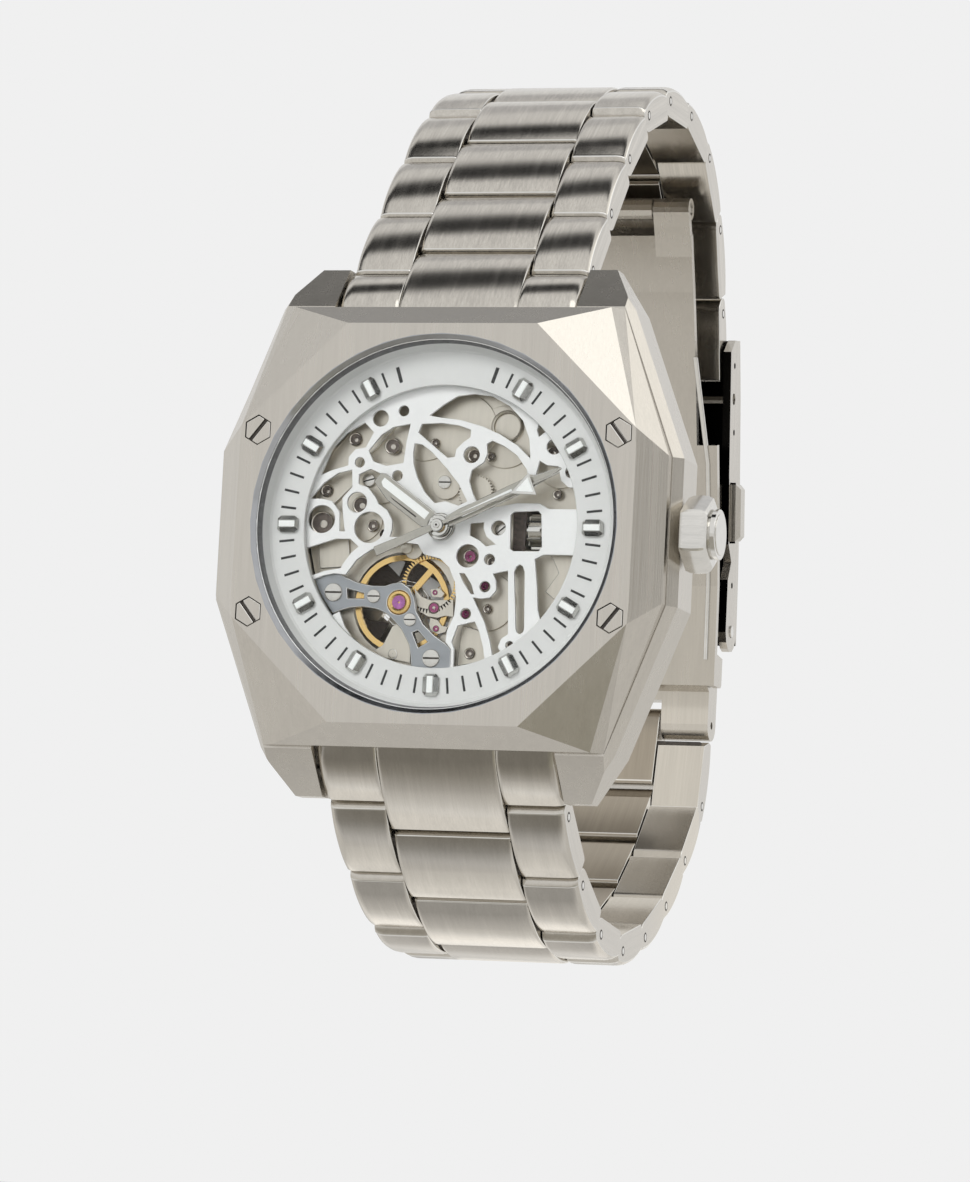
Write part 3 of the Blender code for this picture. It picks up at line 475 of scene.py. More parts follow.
def skin(bm, rings):
    """Closes a stack of equal rings of vertices into a solid; its last faces join the last two rings."""
    faces = [bm.faces.new(rings[0]), bm.faces.new(rings[-1][::-1])]
    for low, high in zip(rings, rings[1:]):
        for k in range(len(low)):
            n = (k + 1) % len(low)
            faces.append(bm.faces.new((low[n], low[k], high[k], high[n])))
    return faces


def prism(bm, outline, first, last, space=front, index=0):
    """Adds a closed prism between two places along the outline's normal."""
    rings = [[bm.verts.new(space(a, b, depth)) for a, b in outline] for depth in (first, last)]
    for face in skin(bm, rings):
        face.material_index = index


def lathe(bm, profile, centre=(0.0, 0.0), steps=48, index=0):
    """Adds a solid turned about the dial's normal; the profile is a closed ring of (radius, depth)."""
    rings = []
    for k in range(steps):
        a = 2 * math.pi * k / steps
        c = math.cos(a)
        s = math.sin(a)
        rings.append([bm.verts.new(front(centre[0] + r * c, centre[1] + r * s, d)) for r, d in profile])
    for k in range(steps):
        here = rings[k]
        after = rings[(k + 1) % steps]
        for j in range(len(profile)):
            n = (j + 1) % len(profile)
            face = bm.faces.new((here[j], here[n], after[n], after[j]))
            face.material_index = index


def button(bm, x, z, radius, depth, height, steps=24, dome=0.25):
    """Adds a round head with a rounded rim that stands height in front of a depth."""
    top = depth - height
    rim = radius * dome
    shoulder = [(radius, top + rim * 0.5), (radius - rim * 0.3, top + rim * 0.12), (radius - rim, top)]
    lathe(bm, [(POLE, depth), (radius, depth)] + shoulder + [(POLE, top)], (x, z), steps)


def settle(name, bm, looks, body="case", replaces=None, matrix=None,
           bevel=0.0, segments=2, sharp=32.0, edge_look=-1):
    """Makes the piece, shades it, sets its looks, and ties it to its body."""
    bmesh.ops.recalc_face_normals(bm, faces=bm.faces)
    mesh = bpy.data.meshes.new(name)
    bm.to_mesh(mesh)
    bm.free()
    for look in looks:
        mesh.materials.append(look)
    piece = bpy.data.objects.new(name, mesh)
    bpy.context.scene.collection.objects.link(piece)
    if matrix is not None:
        piece.matrix_world = matrix
    smooth(mesh, sharp)
    if bevel:
        rounded_edges(piece, bevel, segments, edge_look)
    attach(piece, body)
    if replaces:
        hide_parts(replaces)
    return piece


def smooth(mesh, sharp):
    """Smooth shading that breaks at edges sharper than an angle in degrees."""
    for face in mesh.polygons:
        face.use_smooth = True
    mesh.set_sharp_from_angle(angle=math.radians(sharp))


def rounded_edges(piece, width, segments=2, look=-1, angle=32.0):
    step = piece.modifiers.new("edges", "BEVEL")
    step.width = width * MM
    step.segments = segments
    step.limit_method = "ANGLE"
    step.angle_limit = math.radians(angle)
    step.harden_normals = True
    step.use_clamp_overlap = True
    step.material = look


def cut_out(piece, bm):
    """Cuts closed shapes out of a piece before its edges are rounded."""
    bmesh.ops.recalc_face_normals(bm, faces=bm.faces)
    mesh = bpy.data.meshes.new(piece.name + "_cut")
    bm.to_mesh(mesh)
    bm.free()
    tool = bpy.data.objects.new(piece.name + "_cut", mesh)
    bpy.context.scene.collection.objects.link(tool)
    step = piece.modifiers.new("cut", "BOOLEAN")
    step.operation = "DIFFERENCE"
    step.solver = "EXACT"
    step.object = tool
    depsgraph = bpy.context.evaluated_depsgraph_get()
    depsgraph.update()
    done = bpy.data.meshes.new_from_object(piece.evaluated_get(depsgraph))
    piece.modifiers.remove(step)
    piece.data = done
    bpy.data.objects.remove(tool)
    smooth(done, 32)


# Bracelet


def pivot_of(joint):
    place = JOINTS[joint]["pos_m"]
    return Vector((0.0, place[1] / MM + CASE_DEPTH, place[2] / MM))


def link_matrix(place, heading, sign):
    """Local X across, Y along the bracelet, Z outward from the wrist."""
    c = math.cos(math.radians(heading))
    s = math.sin(math.radians(heading))
    across = Vector((sign, 0, 0))
    along = Vector((0, c, s))
    outward = Vector((0, -sign * s, sign * c))
    turned = Matrix((across, along, outward)).transposed().to_4x4()
    return Matrix.Translation(front(0, place.z, place.y)) @ turned


def local(along, outward, x):
    return Vector((x, along, outward)) * MM


def crown_line(first, last):
    """The outer face of a link piece, convex along the bracelet."""
    points = []
    for k in range(CROWN_STEPS + 1):
        t = k / CROWN_STEPS
        u = 2 * t - 1
        fall = LINK_SAG * (0.72 * u ** 2 + 0.28 * u ** 4)
        points.append((first + (last - first) * t, LINK_R + 0.1 - fall))
    return points


def side_outline(first=None):
    """A side piece: round about its pin, flat at its far end."""
    end = LINK_SPAN - LINK_R - LINK_GAP
    if first is None:
        start = arc(0, 0, LINK_R, 262, 140, 9)
        top = crown_line(-0.95, end - 0.1)
        return start + top + [(end, LINK_R - 0.75), (end, 0.25 - LINK_R), (end - 0.25, -LINK_R)]
    top = crown_line(first, end - 0.1)
    return top + [(end, LINK_R - 0.75), (end, 0.25 - LINK_R), (end - 0.25, -LINK_R), (first + 2.4, -LINK_R)]


def centre_outline(first=None):
    """A centre piece: flat at its near end, round about the next pin."""
    knuckle = arc(LINK_SPAN, 0, LINK_R, -85, 38, 9)
    if first is None:
        start = LINK_R + LINK_GAP
        top = crown_line(start + 0.1, LINK_SPAN + 0.95)[::-1]
        return knuckle + top + [(start, LINK_R - 0.75), (start, 0.25 - LINK_R), (start + 0.25, -LINK_R)]
    top = crown_line(first, LINK_SPAN + 0.95)[::-1]
    return knuckle + top + [(first + 2.4, -LINK_R)]


def pillow(bm, outline, stations):
    """Joins copies of an outline across the bracelet; each station is (x, how far its outer face drops)."""
    rings = []
    for x, drop in stations:
        rings.append([bm.verts.new(local(a, b - drop * min(1, max(0, b - 0.2)), x)) for a, b in outline])
    skin(bm, rings)


def stations_between(first, last, near_drops, far_drops):
    span = 1 if last > first else -1
    found = [(first + span * step, drop) for step, drop in near_drops]
    return found + [(last - span * step, drop) for step, drop in reversed(far_drops)]


def link_piece(name, node, body, matrix, half, start=None, slant=0.0):
    """One link: a centre piece and two side pieces with bright edges, a dark block of painted shade in the
    gap between them, and pin ends ringed with painted shade.

    An end link starts at a place along it instead of at a pin; a slant cuts the far end's wrist side back.
    """
    waist = half * CENTRE_SHARE
    inner = waist - LINK_SEAM
    bm = bmesh.new()
    pillow(bm, centre_outline(start), stations_between(-inner, inner, SOFT_EDGE, SOFT_EDGE))
    bmesh.ops.recalc_face_normals(bm, faces=bm.faces)
    for face in bm.faces:
        # The centre piece's wrist-facing faces take the steel with painted shade; the rest take the outside
        # steel.
        face.material_index = 2 if face.normal.z < -0.7 else 0
    outline = side_outline(start)
    if slant:
        end = LINK_SPAN - LINK_R - LINK_GAP
        outline = outline[:-2] + [(end, 0.0), (end - slant, -LINK_R)]
    seam = waist + 0.04 if start is None else waist - 0.125
    for sign in (1, -1):
        pillow(bm, outline, stations_between(sign * seam, sign * (half - 0.01), SOFT_EDGE, ROUND_EDGE))
    outside = low_link_steel() if "_6" in name else link_steel()
    looks = (outside, mirror_steel(), wrist_side_shaded_steel())
    settle(name, bm, looks, body, node, matrix, 0.13, 3, 28, 1)
    # A dark block of painted shade fills the inside of the link, seen through the gaps between its pieces.
    bm = bmesh.new()
    low = 2.2 if start is None else start + 2.6
    prism(bm, [(low, -1.25), (6.5, -1.25), (6.5, 1.15), (low, 1.15)], -half + 0.6, half - 0.6, local)
    settle(name + "_gap_shade", bm, (hollow(),), body, None, matrix, 0.05)
    # The pin ends sit in dark rings of painted shade.
    if start is None:
        bm = bmesh.new()
        for sign in (1, -1):
            prism(bm, circle(0, 0, 0.5, 20), sign * (half - 0.6), sign * (half + 0.006), local)
            prism(bm, circle(0, 0, 0.33, 20), sign * (half - 0.4), sign * (half + 0.02), local, index=1)
        settle(name + "_pin", bm, (hollow(), mirror_steel()), body, None, matrix, 0.04)


def build_side(tag, sign, count, first_heading, after, start):
    """The end link and every link along one side of the bracelet."""
    places = [pivot_of(f"hinge_{tag}_{k + 1}") for k in range(count)]
    if after:
        places.append(pivot_of(after))
    else:
        a = math.radians(LAST_LINK_HEADING)
        places.append(places[-1] + Vector((0, math.cos(a), math.sin(a))) * LINK_SPAN)
    a = math.radians(first_heading)
    back = places[0] - Vector((0, math.cos(a), math.sin(a))) * LINK_SPAN
    end_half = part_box(f"end_link_{tag}")[1][0] / MM
    matrix = link_matrix(back, first_heading, sign)
    link_piece(f"end_{tag}", f"end_link_{tag}", "case", matrix, end_half, start)
    for k in range(count):
        step = places[k + 1] - places[k]
        heading = math.degrees(math.atan2(step.z, step.y))
        node = f"link_{tag}_{k + 1}"
        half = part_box(node)[1][0] / MM
        slant = 0.95 if not after and k == count - 1 else 0.0
        matrix = link_matrix(places[k], heading, sign)
        link_piece(f"bracelet_{tag}_{k + 1}", node, node, matrix, half, None, slant)


# Dial

DIAL_OPENINGS = (
    [(-7.9, 9.6), (-9.6, 8.6), (-10.9, 7.2), (-11.9, 4.7), (-10.7, 5.2), (-9.3, 5.6), (-9.3, 6.4),
     (-8.7, 7.1), (-7.7, 7.3), (-7.0, 8.7)],
    [(-3.5, 9.5), (-5.1, 9.2), (-6.2, 8.5), (-7.4, 7.0), (-6.9, 6.0), (-5.6, 5.6), (-4.0, 5.9), (-3.8, 7.9)],
    [(-8.9, 5.2), (-10.2, 4.9), (-11.5, 4.0), (-12.8, 2.5), (-11.7, 2.5), (-10.7, 2.3), (-9.9, 1.3),
     (-9.8, -0.5), (-9.3, -0.5), (-9.6, 1.3), (-9.7, 2.6), (-8.8, 3.6)],
    [(-7.1, 5.3), (-8.2, 4.8), (-8.2, 3.9), (-7.3, 3.6), (-6.5, 2.7), (-6.2, 2.1), (-5.3, 1.5),
     (-4.8, 0.6), (-4.75, -0.3), (-4.95, -0.95), (-2.9, -0.95), (-1.7, -0.7), (-1.5, 0.3), (-1.9, 1.2),
     (-2.7, 2.2), (-3.8, 3.4), (-5.0, 3.7), (-5.7, 4.7)],
    [(-3.0, 7.7), (-3.1, 6.9), (-3.0, 5.8), (-2.6, 4.6), (-1.8, 3.2), (-0.8, 2.2), (0.2, 2.4), (1.5, 2.0),
     (2.3, 2.4), (1.4, 4.0), (0.1, 5.5), (-1.4, 7.0), (-2.3, 7.6)],
    [(-2.4, 9.5), (-2.7, 8.7), (-1.7, 7.9), (-0.7, 7.1), (0.2, 6.4), (0.9, 6.5), (1.0, 7.2), (1.7, 7.9),
     (2.3, 8.3), (2.3, 9.0), (1.1, 9.4), (-0.5, 9.6)],
    [(-1.7, 10.3), (-0.4, 11.3), (0.9, 12.1), (2.5, 12.3), (4.2, 12.1), (5.9, 11.2), (7.2, 9.9),
     (7.9, 8.2), (8.1, 6.4), (6.8, 7.6), (5.1, 8.6), (3.5, 9.3), (1.3, 9.9), (-0.6, 10.1)],
    [(4.4, 8.0), (3.9, 7.7), (4.0, 6.8), (3.7, 6.0), (2.6, 5.3), (2.4, 4.3), (2.8, 3.1), (3.4, 2.1),
     (5.0, 1.9), (7.0, 2.3), (9.2, 2.3), (10.1, 1.8), (13.3, 1.8), (13.0, 3.7), (11.8, 3.8), (11.1, 4.4),
     (10.8, 5.7), (9.7, 5.8), (9.0, 6.2), (8.7, 4.9), (7.9, 4.9), (7.8, 5.4), (6.8, 6.7), (5.6, 7.5)],
    [(8.8, 9.8), (9.6, 9.0), (8.8, 8.4), (8.6, 9.0)],
    [(6.8, 1.5), (9.1, 1.6), (9.4, 1.3), (9.6, -1.7), (9.3, -2.1), (6.9, -2.1), (6.6, -1.9), (6.5, 1.2)],
    [(2.7, 0.4), (4.0, 0.5), (4.0, -0.1), (4.3, -0.8), (5.2, -1.5), (4.3, -1.7), (3.7, -1.2), (2.7, -0.7)],
    [(7.3, -3.5), (7.6, -3.3), (7.9, -3.5), (8.1, -4.0), (8.3, -9.2), (8.2, -9.5), (7.9, -9.7),
     (7.6, -9.5), (7.5, -9.1), (7.1, -4.0)],
    [(9.0, -2.8), (9.8, -2.4), (13.3, -2.4), (13.2, -3.8), (12.5, -5.3), (11.9, -6.7), (11.4, -7.6),
     (10.3, -8.8), (9.9, -8.7), (9.5, -7.4), (9.3, -5.1)],
    [(5.1, -4.2), (6.5, -3.9), (6.7, -7.5), (6.8, -9.7), (6.2, -10.1), (5.9, -10.9), (6.5, -11.8),
     (5.5, -12.0), (5.1, -10.3), (4.5, -8.6), (3.3, -6.4), (4.1, -6.5), (4.9, -6.4), (5.5, -5.7),
     (5.4, -4.8)],
    [(2.0, -9.0), (3.6, -8.6), (4.1, -9.6), (4.5, -10.9), (4.7, -12.0), (3.2, -13.1), (1.8, -13.3),
     (1.75, -11.1), (1.5, -10.5)],
    [(1.9, -4.2), (2.4, -4.2), (3.1, -5.2), (3.4, -6.1), (3.1, -6.1), (2.3, -5.0)],
    [(-9.0, -4.5), (-8.0, -3.1), (-6.8, -2.25), (-5.6, -1.65), (-3.6, -1.45), (-2.2, -1.6), (-1.6, -2.5),
     (0.0, -2.9), (0.9, -3.7), (1.5, -5.0), (1.7, -6.5), (1.6, -8.1), (1.0, -9.5), (0.9, -10.5),
     (1.5, -11.2), (1.5, -13.4), (-0.3, -13.4), (-2.3, -13.5), (-3.1, -13.0), (-5.2, -12.3), (-6.5, -11.6),
     (-7.7, -10.7), (-8.8, -9.3), (-9.4, -7.9), (-10.3, -8.4), (-11.2, -7.1), (-12.1, -5.0), (-11.1, -4.6),
     (-10.1, -4.4)],
    [(-12.9, -2.1), (-10.1, -1.2), (-8.7, -1.2), (-7.9, -1.9), (-8.6, -2.5), (-9.3, -3.5), (-9.5, -3.9),
     (-11.1, -4.2), (-12.2, -4.6), (-12.6, -3.6)],
)
DIAL_HOLES = (
    (-8.2, 5.9, 0.48), (-4.5, 4.7, 0.5), (-8.25, 2.2, 0.95), (-11.6, 0.6, 1.3), (-6.95, -0.1, 1.45),
    (-6.4, 10.0, 0.77),
    (-4.2, 10.7, 0.5), (2.5, 6.7, 0.77), (10.3, 7.5, 0.71), (12.0, 5.2, 0.54), (5.4, 0.0, 0.69),
    (2.6, -2.6, 1.07),
    (4.7, -2.9, 0.51), (4.4, -5.4, 0.51), (2.7, -7.9, 0.51), (7.0, -10.7, 0.38), (0.0, 0.0, 1.2),
)


def build_dial():
    bm = bmesh.new()
    prism(bm, circle(0, 0, DIAL_R, 96), DIAL_FRONT, DIAL_BACK)
    looks = (white_plate(), mirror_steel())
    dial = settle("dial_openwork", bm, looks, "case", "dial_plate")
    cutters = bmesh.new()
    for outline in DIAL_OPENINGS:
        prism(cutters, outline, DIAL_FRONT - 1, DIAL_BACK + 1)
    for x, z, radius in DIAL_HOLES:
        prism(cutters, circle(x, z, radius, 28), DIAL_FRONT - 1, DIAL_BACK + 1)
    cut_out(dial, cutters)
    rounded_edges(dial, 0.05)


def build_chapter():
    """The flange round the dial, without a minute mark beside the markers or in the stretch at 12 o'clock."""
    bm = bmesh.new()
    profile = [
        (CHAPTER_INNER, CHAPTER_FRONT + 0.06), (CHAPTER_INNER + 0.06, CHAPTER_FRONT),
        (CHAPTER_OUTER, CHAPTER_FRONT), (16.3, 2.2), (16.62, 1.5), (16.7, 1.35), (16.95, 1.35),
        (16.95, 2.95), (CHAPTER_INNER, 2.95),
    ]
    lathe(bm, profile, steps=128)
    settle("chapter", bm, (chapter_white(),), "case", "chapter_ring", sharp=25)
    bm = bmesh.new()
    proud = CHAPTER_FRONT - 0.012
    tick = rectangle(-0.11, 0.11, TICK_INNER, TICK_OUTER)
    for minute in range(3, 58):
        if minute % 5:
            prism(bm, turn(tick, 6 * minute), proud, CHAPTER_FRONT + 0.1)
    tick = rectangle(-0.14, 0.14, TICK_INNER - 0.05, TICK_OUTER)
    for bearing in (-18.3, 18.3):
        prism(bm, turn(tick, bearing), proud - 0.004, CHAPTER_FRONT + 0.1)
    settle("minute_track", bm, (black_print(),), "case")


def build_rims():
    """The gasket and the bright edges round the crystal."""
    grey = paint("gasket_grey", (0.17, 0.17, 0.172), 0.5, 0.2)
    white = polished("rim_white", (0.85, 0.85, 0.84), 0.2)
    silver = polished("rim_grey", (0.44, 0.45, 0.465), 0.16)
    for name, profile, look in (
        ("inner_gasket", ((16.68, 1.28), (17.02, 0.98), (17.02, 1.6), (16.72, 1.6)), grey),
        ("crystal_rim", ((16.9, 0.47), (17.035, 0.44), (17.035, 0.9), (16.97, 0.9)), white),
        ("bezel_lip", ((16.97, 0.38), (17.35, 0.004), (17.52, 0.004), (17.52, 0.3), (17.1, 0.6)), silver),
    ):
        bm = bmesh.new()
        lathe(bm, profile, steps=160)
        settle(name, bm, (look,), "case", sharp=25)


def cut_corners(wide, long, corner_wide, corner_long):
    """A rectangle with cut corners; the values are half sizes."""
    right = [(corner_wide, -long), (wide, -corner_long), (wide, corner_long), (corner_wide, long)]
    return [(-corner_wide, -long)] + right + [(-x, z) for x, z in right[:0:-1]]


def build_markers():
    """Applied hour markers: a faceted frame with a white bar along its middle."""
    frames = bmesh.new()
    inlays = bmesh.new()
    foot = CHAPTER_FRONT + 0.02
    low = moved(cut_corners(0.78, 1.0, 0.5, 0.65), 0, MARKER_R)
    high = moved(cut_corners(0.34, 0.8, 0.3, 0.7), 0, MARKER_R)
    bar = moved(rectangle(-0.26, 0.26, -0.76, 0.76), 0, MARKER_R)
    for hour in range(1, 12):
        bearing = 30 * hour
        rings = []
        for outline, depth in ((low, foot), (low, foot - 0.22), (high, foot - 0.55)):
            rings.append([frames.verts.new(front(x, z, depth)) for x, z in turn(outline, bearing)])
        slopes = skin(frames, rings)[-len(high):]
        slopes[3].material_index = 1
        prism(inlays, turn(bar, bearing), foot - 0.6, foot - 0.3)
    silver = polished("marker_silver", (0.62, 0.62, 0.6), 0.2)
    shade = polished("marker_shade", (0.2, 0.19, 0.18), 0.3)
    settle("hour_markers", frames, (silver, shade), "case", bevel=0.03, sharp=15)
    settle("hour_inlays", inlays, (lume(),), "case", bevel=0.03)


# Hands


def hand_body(name, outline, first, last, bearing, body, node, boss):
    """A flat hand with bevelled edges, and its round boss, given as (radius, front depth, back depth)."""
    bm = bmesh.new()
    prism(bm, turn(outline, bearing), first, last)
    looks = (brushed("hand_steel", (0.52, 0.50, 0.45), 0.32, (4000, 4000, 4000), height=1e-6), mirror_steel())
    settle(name, bm, looks, body, node, bevel=0.09, segments=1, edge_look=1)
    radius, near, far = boss
    profile = [(0.27, far), (radius, far), (radius, near + 0.08), (radius - 0.08, near), (0.27, near)]
    bm = bmesh.new()
    lathe(bm, profile, steps=32)
    settle(name + "_boss", bm, (mirror_steel(),), body)


def hand_inlay(name, outline, bearing, first, last, body, look):
    """A white bar, or a dark slit of painted shade, let into a hand."""
    bm = bmesh.new()
    prism(bm, turn(outline, bearing), first, last)
    if look is lume:
        settle(name, bm, (look(),), body, bevel=0.03)
    else:
        settle(name, bm, (look(),), body)


def build_hands():
    hour = [(-0.5, 0.5), (-1.1, 1.5), (-1.1, 5.6), (-0.5, 7.7)]
    hour += [(0.55, 7.7), (0.78, 7.2), (0.78, 1.3), (0.5, 0.5)]
    hand_body("hand_hour", hour, 2.52, 2.75, HOUR_ANGLE, "hours", "hour_hand", (1.25, 2.45, 2.78))
    # The hour hand's slit is a dark inlay of painted shade.
    slit = [(-0.74, 2.4), (-0.6, 2.4), (-0.66, 5.6), (-0.74, 5.2)]
    hand_inlay("hand_hour_slit", slit, HOUR_ANGLE, 2.505, 2.6, "hours", hollow)
    minute = mirrored([(0.12, 12.6), (0.6, 9.0), (0.62, 2.2), (0.45, 0.3)])
    hand_body("hand_minute", minute, 1.98, 2.18, MINUTE_ANGLE, "minutes", "minute_hand", (1.0, 1.9, 2.22))
    bar = [(-0.36, 1.6), (0.4, 1.6), (0.4, 7.1), (-0.1, 7.1), (-0.36, 6.7)]
    hand_inlay("hand_hour_lume", bar, HOUR_ANGLE, 2.5, 2.6, "hours", lume)
    bar = rectangle(-0.22, 0.22, 2.4, 7.6)
    hand_inlay("hand_minute_lume", bar, MINUTE_ANGLE, 1.96, 2.05, "minutes", lume)
    # The minute hand's slot is a dark inlay of painted shade.
    slit = [(-0.16, 0.9), (0.16, 0.9), (0.13, 2.2), (-0.13, 2.2)]
    hand_inlay("hand_minute_slot", slit, MINUTE_ANGLE, 1.965, 2.05, "minutes", hollow)
    needle = mirrored([(0.09, 12.4), (0.17, 0.4), (0.36, -1.2), (0.46, -6.3)])
    hand_body("hand_seconds", needle, 1.46, 1.58, SECONDS_ANGLE, "seconds", "seconds_hand", (0.62, 1.4, 1.62))
    bm = bmesh.new()
    prism(bm, turn([(-1.1, 9.7), (1.1, 9.7), (0.0, 7.4)], SECONDS_ANGLE), 1.44, 1.6)
    prism(bm, turn([(-0.74, 9.5), (0.74, 9.5), (0.0, 7.95)], SECONDS_ANGLE), 1.42, 1.5, index=1)
    settle("hand_seconds_arrow", bm, (mirror_steel(), lume()), "seconds", bevel=0.03)
    bm = bmesh.new()
    button(bm, 0, 0, 0.3, 1.4, 0.12)
    # The cap's dark centre is painted shade.
    lathe(bm, [(POLE, 1.27), (0.11, 1.27), (0.11, 1.3), (POLE, 1.3)], steps=16, index=1)
    settle("hand_seconds_cap", bm, (mirror_steel(), hollow()), "seconds")


# Movement


def screws(name, places, depth, height):
    """Slotted screw heads whose slots have floors of painted shade; each place is (x, z, radius, slot angle).
    """
    heads = bmesh.new()
    cutters = bmesh.new()
    floors = bmesh.new()
    for x, z, radius, angle in places:
        button(heads, x, z, radius, depth, height, 28, dome=0.18)
        slot = rectangle(-1.2 * radius, 1.2 * radius, -0.11 * radius, 0.11 * radius)
        prism(cutters, moved(turn(slot, -angle), x, z), depth - height - 0.5, depth - 0.45 * height)
        floor = rectangle(-0.93 * radius, 0.93 * radius, -0.1 * radius, 0.1 * radius)
        prism(floors, moved(turn(floor, -angle), x, z), depth - 0.6 * height, depth - 0.3 * height)
    steel = brushed("screw_steel", (0.72, 0.70, 0.66), 0.22, (3500, 3500, 500))
    piece = settle(name, heads, (steel,), "case")
    cut_out(piece, cutters)
    settle(name + "_slots", floors, (hollow(),), "case", bevel=0.01)


def wells(places, depth):
    """Round sinks in the plate: a bright lip, a dark floor and a pin inside; each place is (x, z, radius)."""
    lips = bmesh.new()
    floors = bmesh.new()
    back = depth + 0.1
    for x, z, radius in places:
        rim = radius + 0.16
        slope = [(radius, depth - 0.16), (radius + 0.09, depth - 0.2), (rim, depth - 0.1)]
        lathe(lips, slope + [(rim, back), (radius, back)], (x, z), 28)
        button(lips, x + 0.12 * radius, z - 0.1 * radius, radius * 0.42, depth, 0.12, 16)
        floor = rectangle(POLE, radius + 0.02, depth - 0.03, depth + 0.06)
        lathe(floors, floor, (x, z), 28)
    settle("plate_wells", lips, (bright_nickel(),))
    shadow = paint("well_shadow", (0.16, 0.13, 0.11), 0.5, 0.3)
    settle("plate_well_floors", floors, (shadow,))


def jewels(places):
    """Ruby bearings in bright settings; each place is (x, z, radius, depth)."""
    stones = bmesh.new()
    rims = bmesh.new()
    for x, z, radius, depth in places:
        back = depth + 0.1
        eye = radius * 0.22
        face = [(eye, depth - 0.02), (radius * 0.45, depth - 0.12), (radius, depth - 0.12)]
        lathe(stones, face + [(radius, back), (eye, back)], (x, z), 28)
        inner = radius + 0.01
        outer = radius * 1.35
        rim = [(inner, depth - 0.1), (radius * 1.2, depth - 0.16), (outer, depth - 0.06)]
        lathe(rims, rim + [(outer, back), (inner, back)], (x, z), 28)
    settle("jewel_stones", stones, (ruby(),), "case")
    settle("jewel_rims", rims, (bright_nickel(),))


MOVEMENT_PLATES = (
    ((-12.4, 2.2), (-12.6, 4.4), (-11.2, 7.2), (-8.9, 9.8), (-6.4, 11.5), (-5.2, 9.6), (-6.9, 7.6),
     (-8.4, 6.3), (-9.2, 3.9), (-10.9, 2.2)),
    ((9.3, -1.3), (13.2, -1.5), (12.6, -4.2), (11.0, -6.6), (9.7, -5.6), (10.9, -3.9), (10.3, -2.6)),
    ((2.0, -8.8), (4.2, -9.4), (4.5, -12.0), (1.7, -12.6)),
    ((-12.3, -0.9), (-9.4, -0.6), (-9.0, -3.6), (-12.0, -3.8)),
)
# Each disc is (x, z, radius, height)
MOVEMENT_DISCS = (
    (-0.2, 4.1, 1.35, 0.45), (-2.6, 9.4, 3.1, 0.2), (1.0, 9.2, 3.4, 0.3), (5.2, 8.6, 2.9, 0.22),
    (4.2, -6.6, 2.7, 0.25),
    (10.6, 6.2, 2.3, 0.3), (-6.4, 4.2, 1.9, 0.3), (-8.4, 0.9, 2.2, 0.2), (2.6, -2.6, 1.7, 0.32),
)


# Each well is (x, z, radius), each screw (x, z, radius, slot angle), and each jewel (x, z, radius, depth)
WELLS = (
    (-9.1, 8.2, 0.5), (-5.5, 7.6, 0.62), (-11.6, 3.4, 0.45), (-1.4, 7.9, 0.3), (4.0, 6.7, 0.3),
    (2.4, 6.8, 0.5),
    (-8.2, 2.1, 0.7), (-7.0, 0.2, 0.42), (10.5, 3.3, 0.33), (4.4, -7.3, 0.3), (2.9, -11.4, 0.38),
    (4.6, -3.0, 0.36), (6.8, -10.6, 0.32), (9.9, 7.1, 0.5), (11.4, 5.0, 0.45), (-11.9, 0.4, 0.95),
)
MOVEMENT_SCREWS = (
    (-7.6, 4.4, 0.6, 15), (-0.3, 4.3, 0.62, 0), (5.35, -0.05, 0.62, 40), (-4.4, -11.7, 0.45, 20),
)
JEWELS = (
    (2.5, -2.5, 0.5, 4.3), (4.0, -5.2, 0.34, 4.4), (2.3, -7.8, 0.34, 4.4),
    (-0.7, -7.3, 0.42, 4.28), (-0.6, -5.9, 0.2, 4.1), (-0.4, -9.2, 0.24, 4.28),
)


def build_plates():
    """Raised, separately polished areas of the movement's front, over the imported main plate."""
    base = PLATE_FRONT + 0.01
    for k, outline in enumerate(MOVEMENT_PLATES):
        bm = bmesh.new()
        prism(bm, outline, PLATE_FRONT - 0.35 - 0.03 * (k % 3), base)
        looks = (nickel(), mirror_steel())
        settle(f"movement_area_{k + 1}", bm, looks, bevel=0.07, edge_look=1)
    bm = bmesh.new()
    for x, z, radius, height in MOVEMENT_DISCS:
        button(bm, x, z, radius, base, height, 56, dome=0.03)
    settle("movement_discs", bm, (nickel(),))
    wells(WELLS, PLATE_FRONT - 0.4)
    screws("movement_screws", MOVEMENT_SCREWS, PLATE_FRONT - 0.4, 0.3)
    jewels(JEWELS)
    bm = bmesh.new()
    lathe(bm, [(1.25, 4.2), (1.4, 4.1), (1.5, 4.2), (1.5, 4.6), (1.25, 4.6)], (5.4, 9.5), 48)
    button(bm, 5.4, 9.5, 1.24, 4.6, 0.2, 48, dome=0.08)
    settle("recess_cap", bm, (nickel(),))


GAPS = (
    ((-6.9, -2.4), (-5.3, -2.2), (-4.6, -2.8), (-5.1, -4.1)),
    ((-2.8, -4.1), (-2.4, -3.9), (-1.3, -4.6), (0.3, -5.0), (0.5, -6.7), (-1.8, -6.2), (-2.8, -5.1)),
    ((-2.2, -8.0), (0.1, -8.3), (-0.5, -9.8), (-1.7, -9.3)),
)
UNDER_BALANCE = (
    ((-8.7, -7.7), (-7.7, -8.2), (-5.8, -8.4), (-6.8, -10.4), (-8.2, -9.2)),
    ((-10.8, -7.5), (-9.0, -7.1), (-8.9, -8.6), (-8.0, -9.9), (-6.9, -10.8), (-7.2, -11.2), (-8.7, -10.7),
     (-10.0, -9.3)),
)


